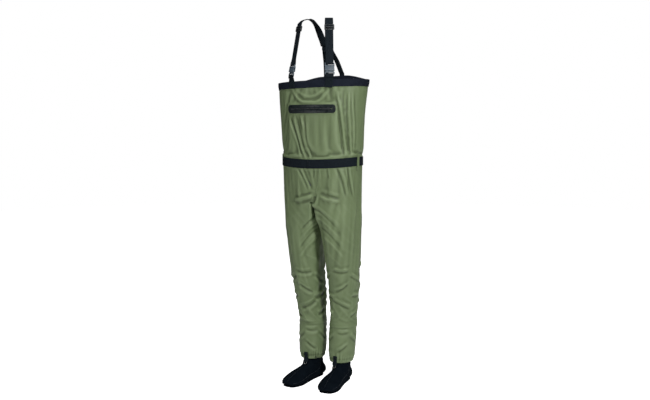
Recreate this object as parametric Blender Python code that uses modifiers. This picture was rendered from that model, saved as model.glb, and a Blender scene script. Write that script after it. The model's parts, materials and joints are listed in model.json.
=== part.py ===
"""Stocking-foot chest waders, standing with the legs side by side.

The wearer faces -Y, +X is the wearer's left, +Z is up and the soles rest on Z = 0. Side +1 is the wearer's
left and side -1 the wearer's right.
"""

import math

import bmesh
import bpy
from mathutils import Matrix, Vector

# Driving dimensions, in metres and degrees.
GAP = 0.0003
FABRIC = 0.0012
NEOPRENE = 0.0035
WEBBING = 0.0014
SEAM_TAPE = 0.0006
STANCE_SHIFT = 0.0296

# Torso: height, half width, depth in front, depth behind, centre y.
TORSO = (
    (0.840, 0.1900, 0.1220, 0.1220, -0.010),
    (0.950, 0.1905, 0.1250, 0.1250, -0.014),
    (1.040, 0.1910, 0.1250, 0.1240, -0.014),
    (1.120, 0.1950, 0.1280, 0.1200, -0.013),
    (1.200, 0.1995, 0.1300, 0.1120, -0.012),
    (1.280, 0.2050, 0.1330, 0.1080, -0.010),
    (1.360, 0.2150, 0.1350, 0.1020, -0.003),
    (1.410, 0.2230, 0.1350, 0.1000, 0.000),
    (1.460, 0.2260, 0.1350, 0.1000, 0.000),
)
# Leg: height, half width, half depth, centre y, centre x.
LEG = (
    (0.080, 0.0490, 0.0605, 0.032, 0.0760),
    (0.100, 0.0520, 0.0620, 0.032, 0.0765),
    (0.140, 0.0600, 0.0670, 0.034, 0.0780),
    (0.220, 0.0630, 0.0700, 0.038, 0.0800),
    (0.280, 0.0630, 0.0700, 0.044, 0.0815),
    (0.400, 0.0680, 0.0760, 0.041, 0.0865),
    (0.550, 0.0770, 0.0900, 0.020, 0.0930),
    (0.700, 0.0850, 0.1040, -0.002, 0.0955),
    (0.840, 0.0930, 0.1220, -0.010, 0.0955),
    (0.900, 0.0930, 0.1220, -0.010, 0.0955),
)
# Inner shin that joins the leg to the sock, under the gravel guard: the same five values.
SHIN = (
    (0.138, 0.0465, 0.0550, 0.0330, 0.0765),
    (0.170, 0.0480, 0.0560, 0.0350, 0.0780),
    (0.220, 0.0560, 0.0630, 0.0380, 0.0800),
    (0.300, 0.0590, 0.0665, 0.0440, 0.0825),
)
TORSO_POWER = 2.3
LEG_POWER = 2.1
CROTCH_Z = 0.860
INSEAM_HALF_GAP = 0.0015
CROTCH_MORPH = 0.13
GUARD_TOP_Z = 0.272
GUARD_HEM_Z = 0.102
FRONT_HEM_Z = 1.376
HEM_HEIGHT = 0.033
HEM_PROUD = 0.001
BACK_RISE = 0.031
HEM_TILT = 0.012  # the hem is lower on the wearer's right
SIDE_SEAM_ANGLE = 0.0022

# Foot: distance forward from the heel and height at the instep, the same at the sole, half width.
SOCK_RINGS = (
    (0.1240, 0.1560, 0.0240, 0.1560, 0.043),
    (0.1245, 0.1220, 0.0215, 0.1180, 0.042),
    (0.1270, 0.1000, 0.0195, 0.0900, 0.041),
    (0.1310, 0.0870, 0.0105, 0.0620, 0.040),
    (0.1380, 0.0790, 0.0020, 0.0360, 0.040),
    (0.1470, 0.0735, 0.0090, 0.0130, 0.039),
    (0.1580, 0.0700, 0.0450, 0.0048, 0.038),
    (0.1750, 0.0655, 0.1150, 0.0048, 0.041),
    (0.2000, 0.0585, 0.1800, 0.0048, 0.047),
    (0.2280, 0.0500, 0.2250, 0.0048, 0.050),
    (0.2560, 0.0405, 0.2580, 0.0058, 0.046),
    (0.2770, 0.0315, 0.2800, 0.0090, 0.034),
    (0.2870, 0.0240, 0.2880, 0.0150, 0.018),
)
SOCK_TOE = (0.2905, 0.0195)
SOCK_POWER = 2.15
SOCK_FLOOR_POWER = 5.0  # the lower half of a ring is squarer where it stands on the sole
SOLE_OUTLINE = (
    (0.010, 0.010),
    (0.018, 0.022),
    (0.035, 0.030),
    (0.070, 0.033),
    (0.120, 0.034),
    (0.170, 0.040),
    (0.215, 0.045),
    (0.245, 0.042),
    (0.268, 0.032),
    (0.280, 0.018),
)
SOLE_THICKNESS = 0.0042
ANKLE_BEHIND = 0.075
TOE_OUT = math.radians(6)

# Chest zip: a curved track about a vertical axis behind the chest.
ZIP_Z = 1.2765
ZIP_SHIFT = 0.006
ZIP_RADIUS = 0.397
ZIP_AXIS_Y = 0.2526
ZIP_FRAME = (0.242, 0.038)
ZIP_MOUTH = (0.212, 0.013)
ZIP_TEETH = 15
ZIP_SLIDER_AT = 0.088
PULLER_LENGTH = 0.026
POCKET_BOTTOM_Z = 1.128

# Belt.
BELT_Z = 1.043
BELT_SAG = 0.012
BELT_HEIGHT = 0.040
BELT_CLEAR = 0.0020
BELT_LOOP_WIDTH = 0.016
BELT_BAR_X = 0.02345

# Suspenders: each one lies in an upright plane turned out from straight ahead.
STRAP_TURN = math.radians(30)
STRAP_WIDTH = 0.035
ELASTIC_WIDTH = 0.025
CROSS_Y = 0.040
CROSS_Z = 1.566
HEM_REACH = 0.199
RUN_SLOPE = 0.195
BUCKLE_Z = 1.443
ADJUSTER_AT = 0.197
FOLD_RADIUS = 0.0038
LAYER = 0.00125
SHOULDER_FRONT = (
    (0.1425, 1.6680),
    (0.1330, 1.6755),
    (0.1180, 1.6815),
)
SHOULDER_BACK = (
    (0.1270, 1.6758),
    (0.1180, 1.6794),
    (0.1090, 1.6818),
    (0.1000, 1.6828),
    (0.0840, 1.6775),
    (0.0680, 1.6630),
    (0.0520, 1.6400),
    (0.0380, 1.6120),
    (0.0270, 1.5880),
    (0.0200, 1.5680),
)

COLOURS = {
    "green_shell": (0.178, 0.219, 0.130, 0.62),
    "dark_lining": (0.020, 0.026, 0.034, 0.70),
    "navy_trim": (0.012, 0.016, 0.026, 0.65),
    "black_webbing": (0.014, 0.019, 0.024, 0.75),
    "neoprene": (0.006, 0.008, 0.011, 0.85),
    "seam_tape": (0.050, 0.055, 0.055, 0.60),
    "welded_film": (0.018, 0.027, 0.028, 0.35),
    "zip_resin": (0.020, 0.026, 0.027, 0.30),
    "buckle_plastic": (0.085, 0.120, 0.160, 0.40),
    "black_plastic": (0.010, 0.012, 0.015, 0.40),
    "hook_wire": (0.450, 0.450, 0.440, 0.30),
}


def clear_scene():
    for obj in list(bpy.data.objects):
        bpy.data.objects.remove(obj, do_unlink=True)


def make_materials():
    """One Principled material for each kind of stuff."""
    made = {}
    for name, (red, green, blue, roughness) in COLOURS.items():
        material = bpy.data.materials.new(name)
        material.use_nodes = True
        shader = material.node_tree.nodes["Principled BSDF"]
        shader.inputs["Base Color"].default_value = (red, green, blue, 1)
        shader.inputs["Roughness"].default_value = roughness
        shader.inputs["Metallic"].default_value = 1.0 if name == "hook_wire" else 0.0
        made[name] = material
    return made


def smooth(u):
    """Smoothstep of u held between 0 and 1."""
    u = max(0.0, min(1.0, u))
    return u * u * (3 - 2 * u)


def section(stations, z):
    """The section values at height z, on a smooth curve through the stations."""
    last = len(stations) - 1
    k = max(0, min(last - 1, sum(row[0] <= z for row in stations) - 1))
    low, high = stations[k], stations[k + 1]
    before, after = stations[max(k - 1, 0)], stations[min(k + 2, last)]
    span = high[0] - low[0]
    u = (z - low[0]) / span
    values = []
    for i in range(1, len(low)):
        rise_low = span * (high[i] - before[i]) / (high[0] - before[0])
        rise_high = span * (after[i] - low[i]) / (after[0] - low[0])
        value = low[i] + (high[i] - low[i]) * u * u * (3 - 2 * u)
        value += rise_low * u * (1 - u) ** 2 - rise_high * u * u * (1 - u)
        values.append(value)
    return values


def roundness(c, s, power):
    return (abs(c) ** power + abs(s) ** power) ** (-1 / power)


def torso_point(t, z, out=0.0):
    """A point on the torso at angle t (0 is the wearer's left side) and height z, moved outwards."""
    half_width, front, back, centre = section(TORSO, z)
    c, s = math.cos(t), math.sin(t)
    r = roundness(c, s, TORSO_POWER)
    depth = front if s < 0 else back
    return Vector(((half_width + out) * r * c, centre + (depth + out) * r * s, z))


def crotch_reach(t, out):
    """Distance from a leg's centre to its half of the torso outline, cut off at the middle plane."""
    half_width, front, back, centre = section(TORSO, CROTCH_Z)
    *_, leg_y, leg_x = section(LEG, CROTCH_Z)
    c, s = math.cos(t), math.sin(t)
    depth = front if s < 0 else back
    near, far = 0.0, 0.3
    for _ in range(40):
        reach = (near + far) / 2
        x = abs(leg_x + reach * c) / (half_width + out)
        y = abs(leg_y - centre + reach * s) / (depth + out)
        if x**TORSO_POWER + y**TORSO_POWER < 1:
            near = reach
        else:
            far = reach
    if c < 0:
        near = min(near, (leg_x - INSEAM_HALF_GAP + out) / -c)
    return near


def leg_point(side, t, z, out=0.0, stations=LEG):
    """A point on a leg at angle t (0 is the outer side) and height z, moved outwards."""
    half_width, half_depth, centre_y, centre_x = section(stations, z)
    c, s = math.cos(t), math.sin(t)
    across = abs(c / (half_width + out)) ** LEG_POWER
    deep = abs(s / (half_depth + out)) ** LEG_POWER
    reach = (across + deep) ** (-1 / LEG_POWER)
    if z > CROTCH_Z - CROTCH_MORPH:
        morph = smooth((CROTCH_Z - z) / CROTCH_MORPH)
        reach = reach * morph + crotch_reach(t, out) * (1 - morph)
    return Vector((side * (centre_x + reach * c), centre_y + reach * s, z))


def add_object(name, mesh, slot):
    obj = bpy.data.objects.new(name, mesh)
    parts.objects.link(obj)
    obj.data.materials.append(materials[slot])
    return obj


def mesh_of(name, bm):
    mesh = bpy.data.meshes.new(name)
    bm.to_mesh(mesh)
    bm.free()
    mesh.shade_smooth()
    mesh.set_sharp_from_angle(angle=math.radians(40))
    return mesh


def sheet(name, rows, thickness, slot, closed=False, offset=-1.0):
    """A sheet through rows of points, thickened with Solidify. Rows run upwards, columns anticlockwise."""
    bm = bmesh.new()
    verts = [[bm.verts.new(p) for p in row] for row in rows]
    columns = len(rows[0])
    for low, high in zip(verts, verts[1:]):
        for i in range(columns if closed else columns - 1):
            j = (i + 1) % columns
            bm.faces.new((low[i], low[j], high[j], high[i]))
    obj = add_object(name, mesh_of(name, bm), slot)
    thicken(obj, thickness, offset)
    return obj


def thicken(obj, thickness, offset=-1.0):
    solidify = obj.modifiers.new("thickness", "SOLIDIFY")
    solidify.thickness = thickness
    solidify.offset = offset
    solidify.use_even_offset = True


def pivot(name, location):
    """An empty on a joint's axis, for the moving pieces to hang from."""
    empty = bpy.data.objects.new(name, None)
    empty.empty_display_size = 0.02
    empty.matrix_world = Matrix.Translation(location)
    parts.objects.link(empty)
    return empty


def attach(parent, *children):
    """Parents the children where they are."""
    for child in children:
        child.parent = parent
        child.matrix_parent_inverse = parent.matrix_world.inverted()


def heights(low, high, count):
    return [low + (high - low) * i / (count - 1) for i in range(count)]


def tube(name, side, low, high, rows, columns, thickness, slot, out=0.0, stations=LEG):
    """A leg-shaped tube, open at both ends."""
    turns = [2 * math.pi * i / columns * side for i in range(columns)]
    grid = [[leg_point(side, t, z, out, stations) for t in turns] for z in heights(low, high, rows)]
    return sheet(name, grid, thickness, slot, closed=True)


def panel(name, turns, low, high, rows, thickness, slot, out=0.0):
    """A piece of the torso between two edges, each a function of the angle."""
    grid = []
    for row in range(rows):
        share = row / (rows - 1)
        grid.append([torso_point(t, low(t) + (high(t) - low(t)) * share, out) for t in turns])
    return sheet(name, grid, thickness, slot)


def spread(first, last, count):
    return [first + (last - first) * i / (count - 1) for i in range(count)]


def back_lift(t):
    """How far the back hem stands above the front hem, rising from each side to a level middle."""
    return BACK_RISE * smooth((1 - abs(math.cos(t))) / 0.75) if math.sin(t) > 0 else 0.0


def torso_floor(t):
    return CROTCH_Z + 0.0002


def torso_top(t):
    return FRONT_HEM_Z + back_lift(t) - HEM_TILT * (1 - math.cos(t)) / 2


def hem_foot(t):
    return torso_top(t) + 0.0005


def hem_top(t):
    return torso_top(t) + HEM_HEIGHT


def build_torso():
    columns = 21
    front = spread(-math.pi + SIDE_SEAM_ANGLE, -SIDE_SEAM_ANGLE, columns)
    back = spread(SIDE_SEAM_ANGLE, math.pi - SIDE_SEAM_ANGLE, columns)
    for where, turns in (("front", front), ("back", back)):
        panel(where + "_torso_panel", turns, torso_floor, torso_top, 10, FABRIC, "green_shell")
        panel(where + "_hem_band", turns, hem_foot, hem_top, 3, 2 * FABRIC, "navy_trim", HEM_PROUD)
    for side, name in ((1, "left"), (-1, "right")):
        middle = 0.0 if side > 0 else math.pi
        turns = spread(middle - 0.09, middle + 0.09, 5)
        band = [[torso_point(t, z, -0.0030) for t in turns] for z in heights(0.875, 1.372, 8)]
        sheet(name + "_side_seam_tape", band, SEAM_TAPE, "seam_tape")
    turns = spread(-math.pi / 2 - 0.055, -math.pi / 2 + 0.055, 3)
    band = [[torso_point(t, z, -0.0019) for t in turns] for z in heights(0.868, 1.000, 4)]
    sheet("front_rise_seam_tape", band, SEAM_TAPE, "seam_tape")
    rows = []
    for y in spread(-0.1275, 0.1075, 6):
        rows.append([Vector((x, y, CROTCH_Z + 0.0020)) for x in (-0.018, 0.0, 0.018)])
    sheet("crotch_gusset", rows, 0.0010, "dark_lining")


def build_leg(side, name):
    tube(name + "_leg", side, GUARD_TOP_Z + 0.0002, CROTCH_Z - 0.0004, 13, 24, FABRIC, "green_shell")
    tube(name + "_gravel_guard", side, GUARD_HEM_Z, GUARD_TOP_Z - GAP, 7, 24, FABRIC, "green_shell")
    tube(name + "_shin_liner", side, 0.140, 0.300, 5, 20, FABRIC, "dark_lining", stations=SHIN)
    tube(name + "_cuff_elastic", side, 0.1035, 0.1155, 2, 24, 0.0009, "black_webbing", out=-0.0018)
    turns = spread(math.pi - 0.11, math.pi + 0.11, 3)[::side]
    grid = [[leg_point(side, t, z, -0.0019) for t in turns] for z in heights(0.315, 0.700, 8)]
    sheet(name + "_inseam_tape", grid, SEAM_TAPE, "seam_tape")


def foot_point(side, forward, lateral, z):
    """A point of a foot from its distance ahead of the heel and its distance outwards."""
    *_, ankle_y, ankle_x = section(LEG, 0.10)
    ahead = forward - ANKLE_BEHIND
    x = ankle_x + ahead * math.sin(TOE_OUT) + lateral * math.cos(TOE_OUT)
    y = ankle_y - ahead * math.cos(TOE_OUT) + lateral * math.sin(TOE_OUT)
    return Vector((side * x, y, z))


def build_sock(side, name):
    bm = bmesh.new()
    columns = 20
    rings = []
    for top_s, top_z, low_s, low_z, half_width in SOCK_RINGS:
        ring = []
        flat = smooth((0.060 - low_z) / 0.045)
        floor_power = SOCK_POWER + (SOCK_FLOOR_POWER - SOCK_POWER) * flat
        for i in range(columns):
            t = 2 * math.pi * i / columns
            c, s = math.cos(t), math.sin(t)
            r = roundness(c, s, SOCK_POWER if c > 0 else floor_power)
            forward = (top_s + low_s) / 2 + (top_s - low_s) / 2 * r * c
            z = (top_z + low_z) / 2 + (top_z - low_z) / 2 * r * c
            ring.append(bm.verts.new(foot_point(side, forward, half_width * r * s, z)))
        rings.append(ring)
    for upper, lower in zip(rings, rings[1:]):
        for i in range(columns):
            j = (i + 1) % columns
            bm.faces.new((upper[i], upper[j], lower[j], lower[i]))
    toe = bm.verts.new(foot_point(side, SOCK_TOE[0], 0.0, SOCK_TOE[1]))
    for i in range(columns):
        bm.faces.new((rings[-1][i], rings[-1][(i + 1) % columns], toe))
    bmesh.ops.recalc_face_normals(bm, faces=bm.faces)
    obj = add_object(name + "_sock", mesh_of(name + "_sock", bm), "neoprene")
    thicken(obj, NEOPRENE)


def build_sole(side, name):
    outline = [(s, w) for s, w in SOLE_OUTLINE] + [(s, -w) for s, w in reversed(SOLE_OUTLINE)]
    bm = bmesh.new()
    low = [bm.verts.new(foot_point(side, s, w, 0.0)) for s, w in outline]
    high = [bm.verts.new(foot_point(side, s, w * 1.03, SOLE_THICKNESS)) for s, w in outline]
    bm.faces.new(low)
    bm.faces.new(high)
    for i in range(len(outline)):
        j = (i + 1) % len(outline)
        bm.faces.new((low[i], low[j], high[j], high[i]))
    bmesh.ops.recalc_face_normals(bm, faces=bm.faces)
    add_object(name + "_sock_sole", mesh_of(name + "_sock_sole", bm), "neoprene")


def webbing(name, stations, width, thickness, slot):
    """A strap along stations of centre point and direction across the width."""
    rows = [[p - across * width / 2, p + across * width / 2] for p, across in stations]
    return sheet(name, rows, thickness, slot, offset=0.0)


def build_hook_tab(side, name):
    """A tab sewn to the cuff by its top edge only, with the hook that clips to a boot lace."""
    across = Vector((1, 0, 0))
    stations = []
    for z in (0.1340, 0.1200, 0.1080, 0.1030):
        front = leg_point(side, -math.pi / 2, z, 0.0018)
        stations.append((Vector((front.x, front.y, z)), across))
    edge = stations[-1][0]
    for back, drop in ((0.0030, 0.0060), (0.0060, 0.0115), (0.0085, 0.0160)):
        stations.append((Vector((edge.x, edge.y - back, edge.z - drop)), across))
    tab = webbing(name + "_hook_tab", stations, 0.019, WEBBING, "black_webbing")
    tip = stations[-1][0]
    path = ((-0.006, 0.0005), (-0.006, -0.006), (0.0, -0.0085), (0.006, -0.006), (0.006, 0.0005))
    curve = bpy.data.curves.new(name + "_lace_hook", "CURVE")
    curve.dimensions = "3D"
    curve.bevel_depth = 0.0010
    curve.bevel_resolution = 1
    curve.use_fill_caps = True
    spline = curve.splines.new("POLY")
    spline.points.add(len(path) - 1)
    for point, (x, z) in zip(spline.points, path):
        point.co = (tip.x + x, tip.y - 0.0022 - 0.25 * abs(z), tip.z + z + 0.001, 1)
    hook = add_object(name + "_lace_hook", curve, "hook_wire")
    attach(pivot(name + "_tab_pivot", stations[0][0]), tab, hook)


def zip_point(s, z, out):
    """A point on the zip track: s along it, z up, and out from it."""
    turn = (s + ZIP_SHIFT) / ZIP_RADIUS
    reach = ZIP_RADIUS + out
    return Vector((reach * math.sin(turn), ZIP_AXIS_Y - reach * math.cos(turn), z))


def rounded_loop(length, height, radius, per_corner, per_side):
    """Points round a rectangle with round corners, the long sides divided so that they can bend."""
    half_l, half_h = length / 2 - radius, height / 2 - radius
    points = []
    for right, top, start in ((1, -1, -90), (1, 1, 0), (-1, 1, 90), (-1, -1, 180)):
        for k in range(per_corner + 1):
            turn = math.radians(start + 90 * k / per_corner)
            x = right * half_l + radius * math.cos(turn)
            points.append((x, top * half_h + radius * math.sin(turn)))
        if right == top:
            for k in range(1, per_side):
                points.append((right * half_l * (1 - 2 * k / per_side), top * height / 2))
    return points


def bent_ring(name, outer, inner, near, far, slot):
    """A flat ring between two loops of the same count, bent along the zip track."""
    bm = bmesh.new()
    loops = []
    for loop in (outer, inner):
        for out in (near, far):
            loops.append([bm.verts.new(zip_point(s, ZIP_Z + z, out)) for s, z in loop])
    outer_near, outer_far, inner_near, inner_far = loops
    count = len(outer)
    around = (outer_near, outer_far, inner_far, inner_near, outer_near)
    for a, b in zip(around, around[1:]):
        for i in range(count):
            j = (i + 1) % count
            bm.faces.new((a[i], a[j], b[j], b[i]))
    bmesh.ops.recalc_face_normals(bm, faces=bm.faces)
    add_object(name, mesh_of(name, bm), slot)


def bent_strip(name, lower, upper, near, far, slot):
    """A strip between two rows of (s, z) points of the same count, bent along the zip track."""
    bm = bmesh.new()
    rows = []
    for line, out in ((lower, near), (lower, far), (upper, far), (upper, near)):
        rows.append([bm.verts.new(zip_point(s, z, out)) for s, z in line])
    for k in range(4):
        a, b = rows[k], rows[(k + 1) % 4]
        for i in range(len(lower) - 1):
            bm.faces.new((a[i], a[i + 1], b[i + 1], b[i]))
    for end in (0, -1):
        bm.faces.new([row[end] for row in rows])
    bmesh.ops.recalc_face_normals(bm, faces=bm.faces)
    add_object(name, mesh_of(name, bm), slot)


def build_zip():
    frame_l, frame_h = ZIP_FRAME
    mouth_l, mouth_h = ZIP_MOUTH
    outer = rounded_loop(frame_l, frame_h, 0.014, 4, 10)
    inner = rounded_loop(mouth_l, mouth_h, 0.005, 4, 10)
    bent_ring("zip_frame", outer, inner, 0.0016, 0.0028, "welded_film")
    reach = mouth_l / 2 + 0.004
    for name, sign in (("upper", 1), ("lower", -1)):
        near_edge = [(s, ZIP_Z + sign * 0.0026) for s in spread(-reach, reach, 11)]
        far_edge = [(s, ZIP_Z + sign * 0.0100) for s in spread(-reach, reach, 11)]
        bent_strip("zip_" + name + "_tape", near_edge, far_edge, 0.0006, 0.0012, "dark_lining")
        build_teeth(name, sign)
    dock = [(-mouth_l / 2 + 0.002, 0.004), (-mouth_l / 2 + 0.010, 0.0052), (-mouth_l / 2 + 0.0215, 0.0038)]
    bent_strip(
        "zip_dock",
        [(s, ZIP_Z - h) for s, h in dock],
        [(s, ZIP_Z + h) for s, h in dock],
        0.0022,
        0.0062,
        "black_plastic",
    )


def build_teeth(name, sign):
    """One row of interlocking teeth on its cord, which meets the other row with a gap."""
    length = ZIP_MOUTH[0] - 0.030
    pitch = length / ZIP_TEETH
    start = -length / 2 + 0.0095 + (pitch / 2 if sign > 0 else 0.0)
    tips, roots = [], []
    for k in range(ZIP_TEETH - 1):
        for share, tip in ((0.0, 0.0019), (0.22, 0.0007), (0.5, 0.0007), (0.72, 0.0019)):
            s = start + (k + share) * pitch
            tips.append((s, ZIP_Z + sign * tip))
            roots.append((s, ZIP_Z + sign * 0.0034))
    bent_strip("zip_" + name + "_teeth", tips, roots, 0.0015, 0.0030, "zip_resin")


def zip_frame_at(s, out):
    """Frame on the zip track: X along it, Y away from the body, Z up."""
    turn = (s + ZIP_SHIFT) / ZIP_RADIUS
    along = Vector((math.cos(turn), math.sin(turn), 0))
    away = Vector((math.sin(turn), -math.cos(turn), 0))
    return frame_matrix(zip_point(s, ZIP_Z, out), along, away)


def frame_matrix(origin, x_axis, y_axis):
    """A placement with Z made square to X and Y, turned so that the frame isn't mirrored."""
    z_axis = x_axis.cross(y_axis).normalized()
    matrix = Matrix((x_axis, y_axis, z_axis)).transposed().to_4x4()
    matrix.translation = origin
    return matrix


def box_mesh(bm, size, centre):
    made = bmesh.ops.create_cube(bm, size=1.0)["verts"]
    for vert in made:
        vert.co = Vector([vert.co[i] * size[i] + centre[i] for i in range(3)])


def plate(name, outline, depth, slot):
    """A flat plate from an outline in X and Z, with its thickness along Y."""
    curve = bpy.data.curves.new(name + "_outline", "CURVE")
    curve.dimensions = "2D"
    curve.fill_mode = "BOTH"
    curve.extrude = depth / 2
    spline = curve.splines.new("POLY")
    spline.points.add(len(outline) - 1)
    for point, (x, z) in zip(spline.points, outline):
        point.co = (x, z, 0, 1)
    spline.use_cyclic_u = True
    guide = bpy.data.objects.new(name + "_outline", curve)
    bpy.context.scene.collection.objects.link(guide)
    graph = bpy.context.evaluated_depsgraph_get()
    mesh = bpy.data.meshes.new_from_object(guide.evaluated_get(graph))
    bpy.data.objects.remove(guide, do_unlink=True)
    bm = bmesh.new()
    bm.from_mesh(mesh)
    bpy.data.meshes.remove(mesh)
    bmesh.ops.remove_doubles(bm, verts=bm.verts, dist=1e-6)
    bmesh.ops.rotate(bm, verts=bm.verts, cent=(0, 0, 0), matrix=Matrix.Rotation(math.radians(90), 3, "X"))
    bmesh.ops.recalc_face_normals(bm, faces=bm.faces)
    return add_object(name, mesh_of(name, bm), slot)


def boolean(obj, operation, boxes, matrix):
    """Joins boxes to the object, or cuts them from it. Each box is (size, centre) in the object's frame."""
    for k, (size, centre) in enumerate(boxes):
        bm = bmesh.new()
        box_mesh(bm, size, centre)
        helper = bpy.data.objects.new(f"{obj.name}_{operation.lower()}_{k}", mesh_of(obj.name, bm))
        helpers.objects.link(helper)
        helper.hide_render = True
        helper.display_type = "WIRE"
        helper.matrix_world = matrix
        modifier = obj.modifiers.new(f"{operation.lower()}_{k}", "BOOLEAN")
        modifier.operation = operation
        modifier.object = helper
        modifier.solver = "EXACT"


def build_zip_slider():
    matrix = zip_frame_at(ZIP_SLIDER_AT, 0.0034)
    outline = ((-0.008, -0.0035), (-0.002, -0.0055), (0.005, -0.0055), (0.008, -0.003))
    outline += tuple((x, -z) for x, z in reversed(outline))
    slider = plate("zip_slider", outline, 0.0020, "black_plastic")
    slider.matrix_world = matrix @ Matrix.Translation((0, 0.0010, 0))
    bridge = [((0.0020, 0.0050, 0.0035), (x, 0.0033, 0)) for x in (-0.0050, 0.0050)]
    bridge.append(((0.0120, 0.0016, 0.0035), (0, 0.0052, 0)))
    boolean(slider, "UNION", bridge, slider.matrix_world)
    hinge = matrix @ Matrix.Translation((0, 0.0037, 0))
    outline = [(0.0008, -0.0045), (0.0008, 0.0045), (-0.0100, 0.0036), (-PULLER_LENGTH, 0.0048)]
    outline += [(-PULLER_LENGTH, -0.0048), (-0.0100, -0.0036)]
    puller = plate("zip_puller", outline, 0.0014, "black_plastic")
    boolean(puller, "DIFFERENCE", [((0.0077, 0.0060, 0.0043), (-0.00465, 0, 0))], hinge)
    puller.matrix_world = hinge
    attach(pivot("zip_track_axis", Vector((0, ZIP_AXIS_Y, ZIP_Z))), slider)
    attach(slider, puller)


def build_pocket_bag():
    """The bag hangs from below the zip, turns up at the bottom and joins above the zip."""
    profile = [(-0.0050, 1.2660), (-0.0055, 1.2200), (-0.0064, 1.1700), (-0.0072, POCKET_BOTTOM_Z + 0.006)]
    profile += [(-0.0084, POCKET_BOTTOM_Z + 0.001), (-0.0105, POCKET_BOTTOM_Z)]
    profile += [(-0.0126, POCKET_BOTTOM_Z + 0.001)]
    profile += [(-0.0139, POCKET_BOTTOM_Z + 0.006), (-0.0139, 1.1700), (-0.0128, 1.2300), (-0.0068, 1.2860)]
    columns = spread(-0.110, 0.112, 9)
    rows = [[zip_point(s, z, out) for s in columns] for out, z in profile]
    sheet("pocket_bag", rows, 0.0007, "dark_lining", offset=0.0)


def belt_out(layer):
    """How far out a layer of the belt lies from the garment."""
    return BELT_CLEAR + WEBBING * (0.5 + layer) + 0.0004 * layer


def belt_edges(x, y, drop=0.0):
    low, high = BELT_Z - BELT_HEIGHT / 2 - drop, BELT_Z + BELT_HEIGHT / 2 - drop
    return [Vector((x, y, low)), Vector((x, y, high))]


def belt_row(t, out):
    """The belt's edges at one angle. It sags towards the middle of the front."""
    drop = BELT_SAG * max(0.0, -math.sin(t)) ** 2
    middle = torso_point(t, BELT_Z, out)
    return belt_edges(middle.x, middle.y, drop)


def belt_fold(side, bar_y, tail):
    """Rows round the far side of a buckle's bar, then out along the tail, given as (x, y)."""
    bar_x = BELT_BAR_X
    points = []
    for turn in (-90, -45, 0, 45, 90):
        turn = math.radians(turn)
        points.append((bar_x - FOLD_RADIUS * math.cos(turn), bar_y + FOLD_RADIUS * math.sin(turn)))
    return [belt_edges(side * x, y) for x, y in points + list(tail)]


def build_belt():
    """Two lengths that overlap at the front.

    The left one folds round the prongs' bar behind the back. A folded end loop goes round the socket's bar.
    """
    _, _, back, centre = section(TORSO, BELT_Z)
    belly = centre + back
    bar_y = belly + 0.0085
    rows = []
    for k, t in enumerate(spread(-math.pi / 2 - 0.045, math.pi / 2 - 0.285, 26)):
        rows.append(belt_row(t, belt_out(1 if k < 2 else 0)))
    tail = ((0.036, bar_y + 0.0030), (0.050, bar_y - 0.0032), (0.064, bar_y - 0.0072))
    rows += belt_fold(1, bar_y, tail)
    sheet("left_belt_webbing", rows, WEBBING, "black_webbing", offset=0.0)
    rows = [belt_row(t, belt_out(0)) for t in spread(-math.pi / 2 + 0.055, -1.5 * math.pi + 0.16, 26)]
    sheet("right_belt_webbing", rows, WEBBING, "black_webbing", offset=0.0)
    inner = belt_fold(-1, bar_y, ())
    outer = [(0.036, belly + 0.0115), (0.050, belly + 0.0085), (0.060, belly + 0.0060)]
    start = [(0.060, belly + 0.0036), (0.040, belly + 0.0044)]
    first = [belt_edges(-x, y) for x, y in start]
    last = [belt_edges(-x, y) for x, y in outer]
    loop = sheet("right_belt_end_loop", first + inner + last, WEBBING, "black_webbing", offset=0.0)
    matrix = frame_matrix(Vector((0.00825, bar_y, BELT_Z)), Vector((0, 0, 1)), Vector((0, 1, 0)))
    build_prongs("belt_buckle_prongs", matrix, BELT_HEIGHT + 0.0012, "black_plastic")
    socket = build_socket("belt_buckle_socket", matrix, BELT_HEIGHT + 0.0012, "black_plastic")
    attach(socket, loop)
    for side, name in ((1, "left"), (-1, "right")):
        front = -0.19 if side > 0 else -math.pi + 0.19
        rear = 1.06 if side > 0 else math.pi - 1.06
        build_belt_loop(name + "_belt_loop", front)
        build_belt_loop(name + "_rear_belt_loop", rear)


def build_belt_loop(name, t):
    """A strip sewn above and below the belt, bowed out so that the belt passes behind it."""
    profile = ((0.0012, -0.0420), (0.0012, -0.0310), (0.0062, -0.0245))
    profile += ((0.0062, 0.0245), (0.0012, 0.0310), (0.0012, 0.0400))
    centre = torso_point(t, BELT_Z)
    ahead = torso_point(t + 0.02, BELT_Z)
    along = (ahead - centre).normalized()
    away = along.cross(Vector((0, 0, 1)))
    stations = []
    for out, up in profile:
        stations.append((torso_point(t, BELT_Z + up) + away * out, along))
    webbing(name, stations, BELT_LOOP_WIDTH, 0.0009, "green_shell")


def build_socket(name, matrix, slot_width, slot):
    """The half of a side-release buckle with the mouth, which opens down its own Z."""
    half = slot_width / 2 + 0.0040
    waist = half - 0.0012
    outline = [(-half, 0.0), (half, 0.0), (waist, 0.010), (waist, 0.017), (half, 0.024), (-half, 0.024)]
    outline += [(-waist, 0.017), (-waist, 0.010)]
    socket = plate(name, outline, 0.0090, slot)
    socket.matrix_world = matrix
    boolean(socket, "UNION", [((2 * half - 0.0010, 0.0040, 0.0120), (0, 0, 0.0285))], matrix)
    window = 0.0100
    cavity = half - 0.0045
    cuts = [
        ((2 * cavity, 0.0058, 0.0230), (0, 0, 0.0105)),
        ((slot_width, 0.0120, 0.0043), (0, 0, 0.02775)),
        ((2 * half + 0.010, 0.0048, window), (0, 0, 0.0115)),
    ]
    boolean(socket, "DIFFERENCE", cuts, matrix)
    return socket


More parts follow.
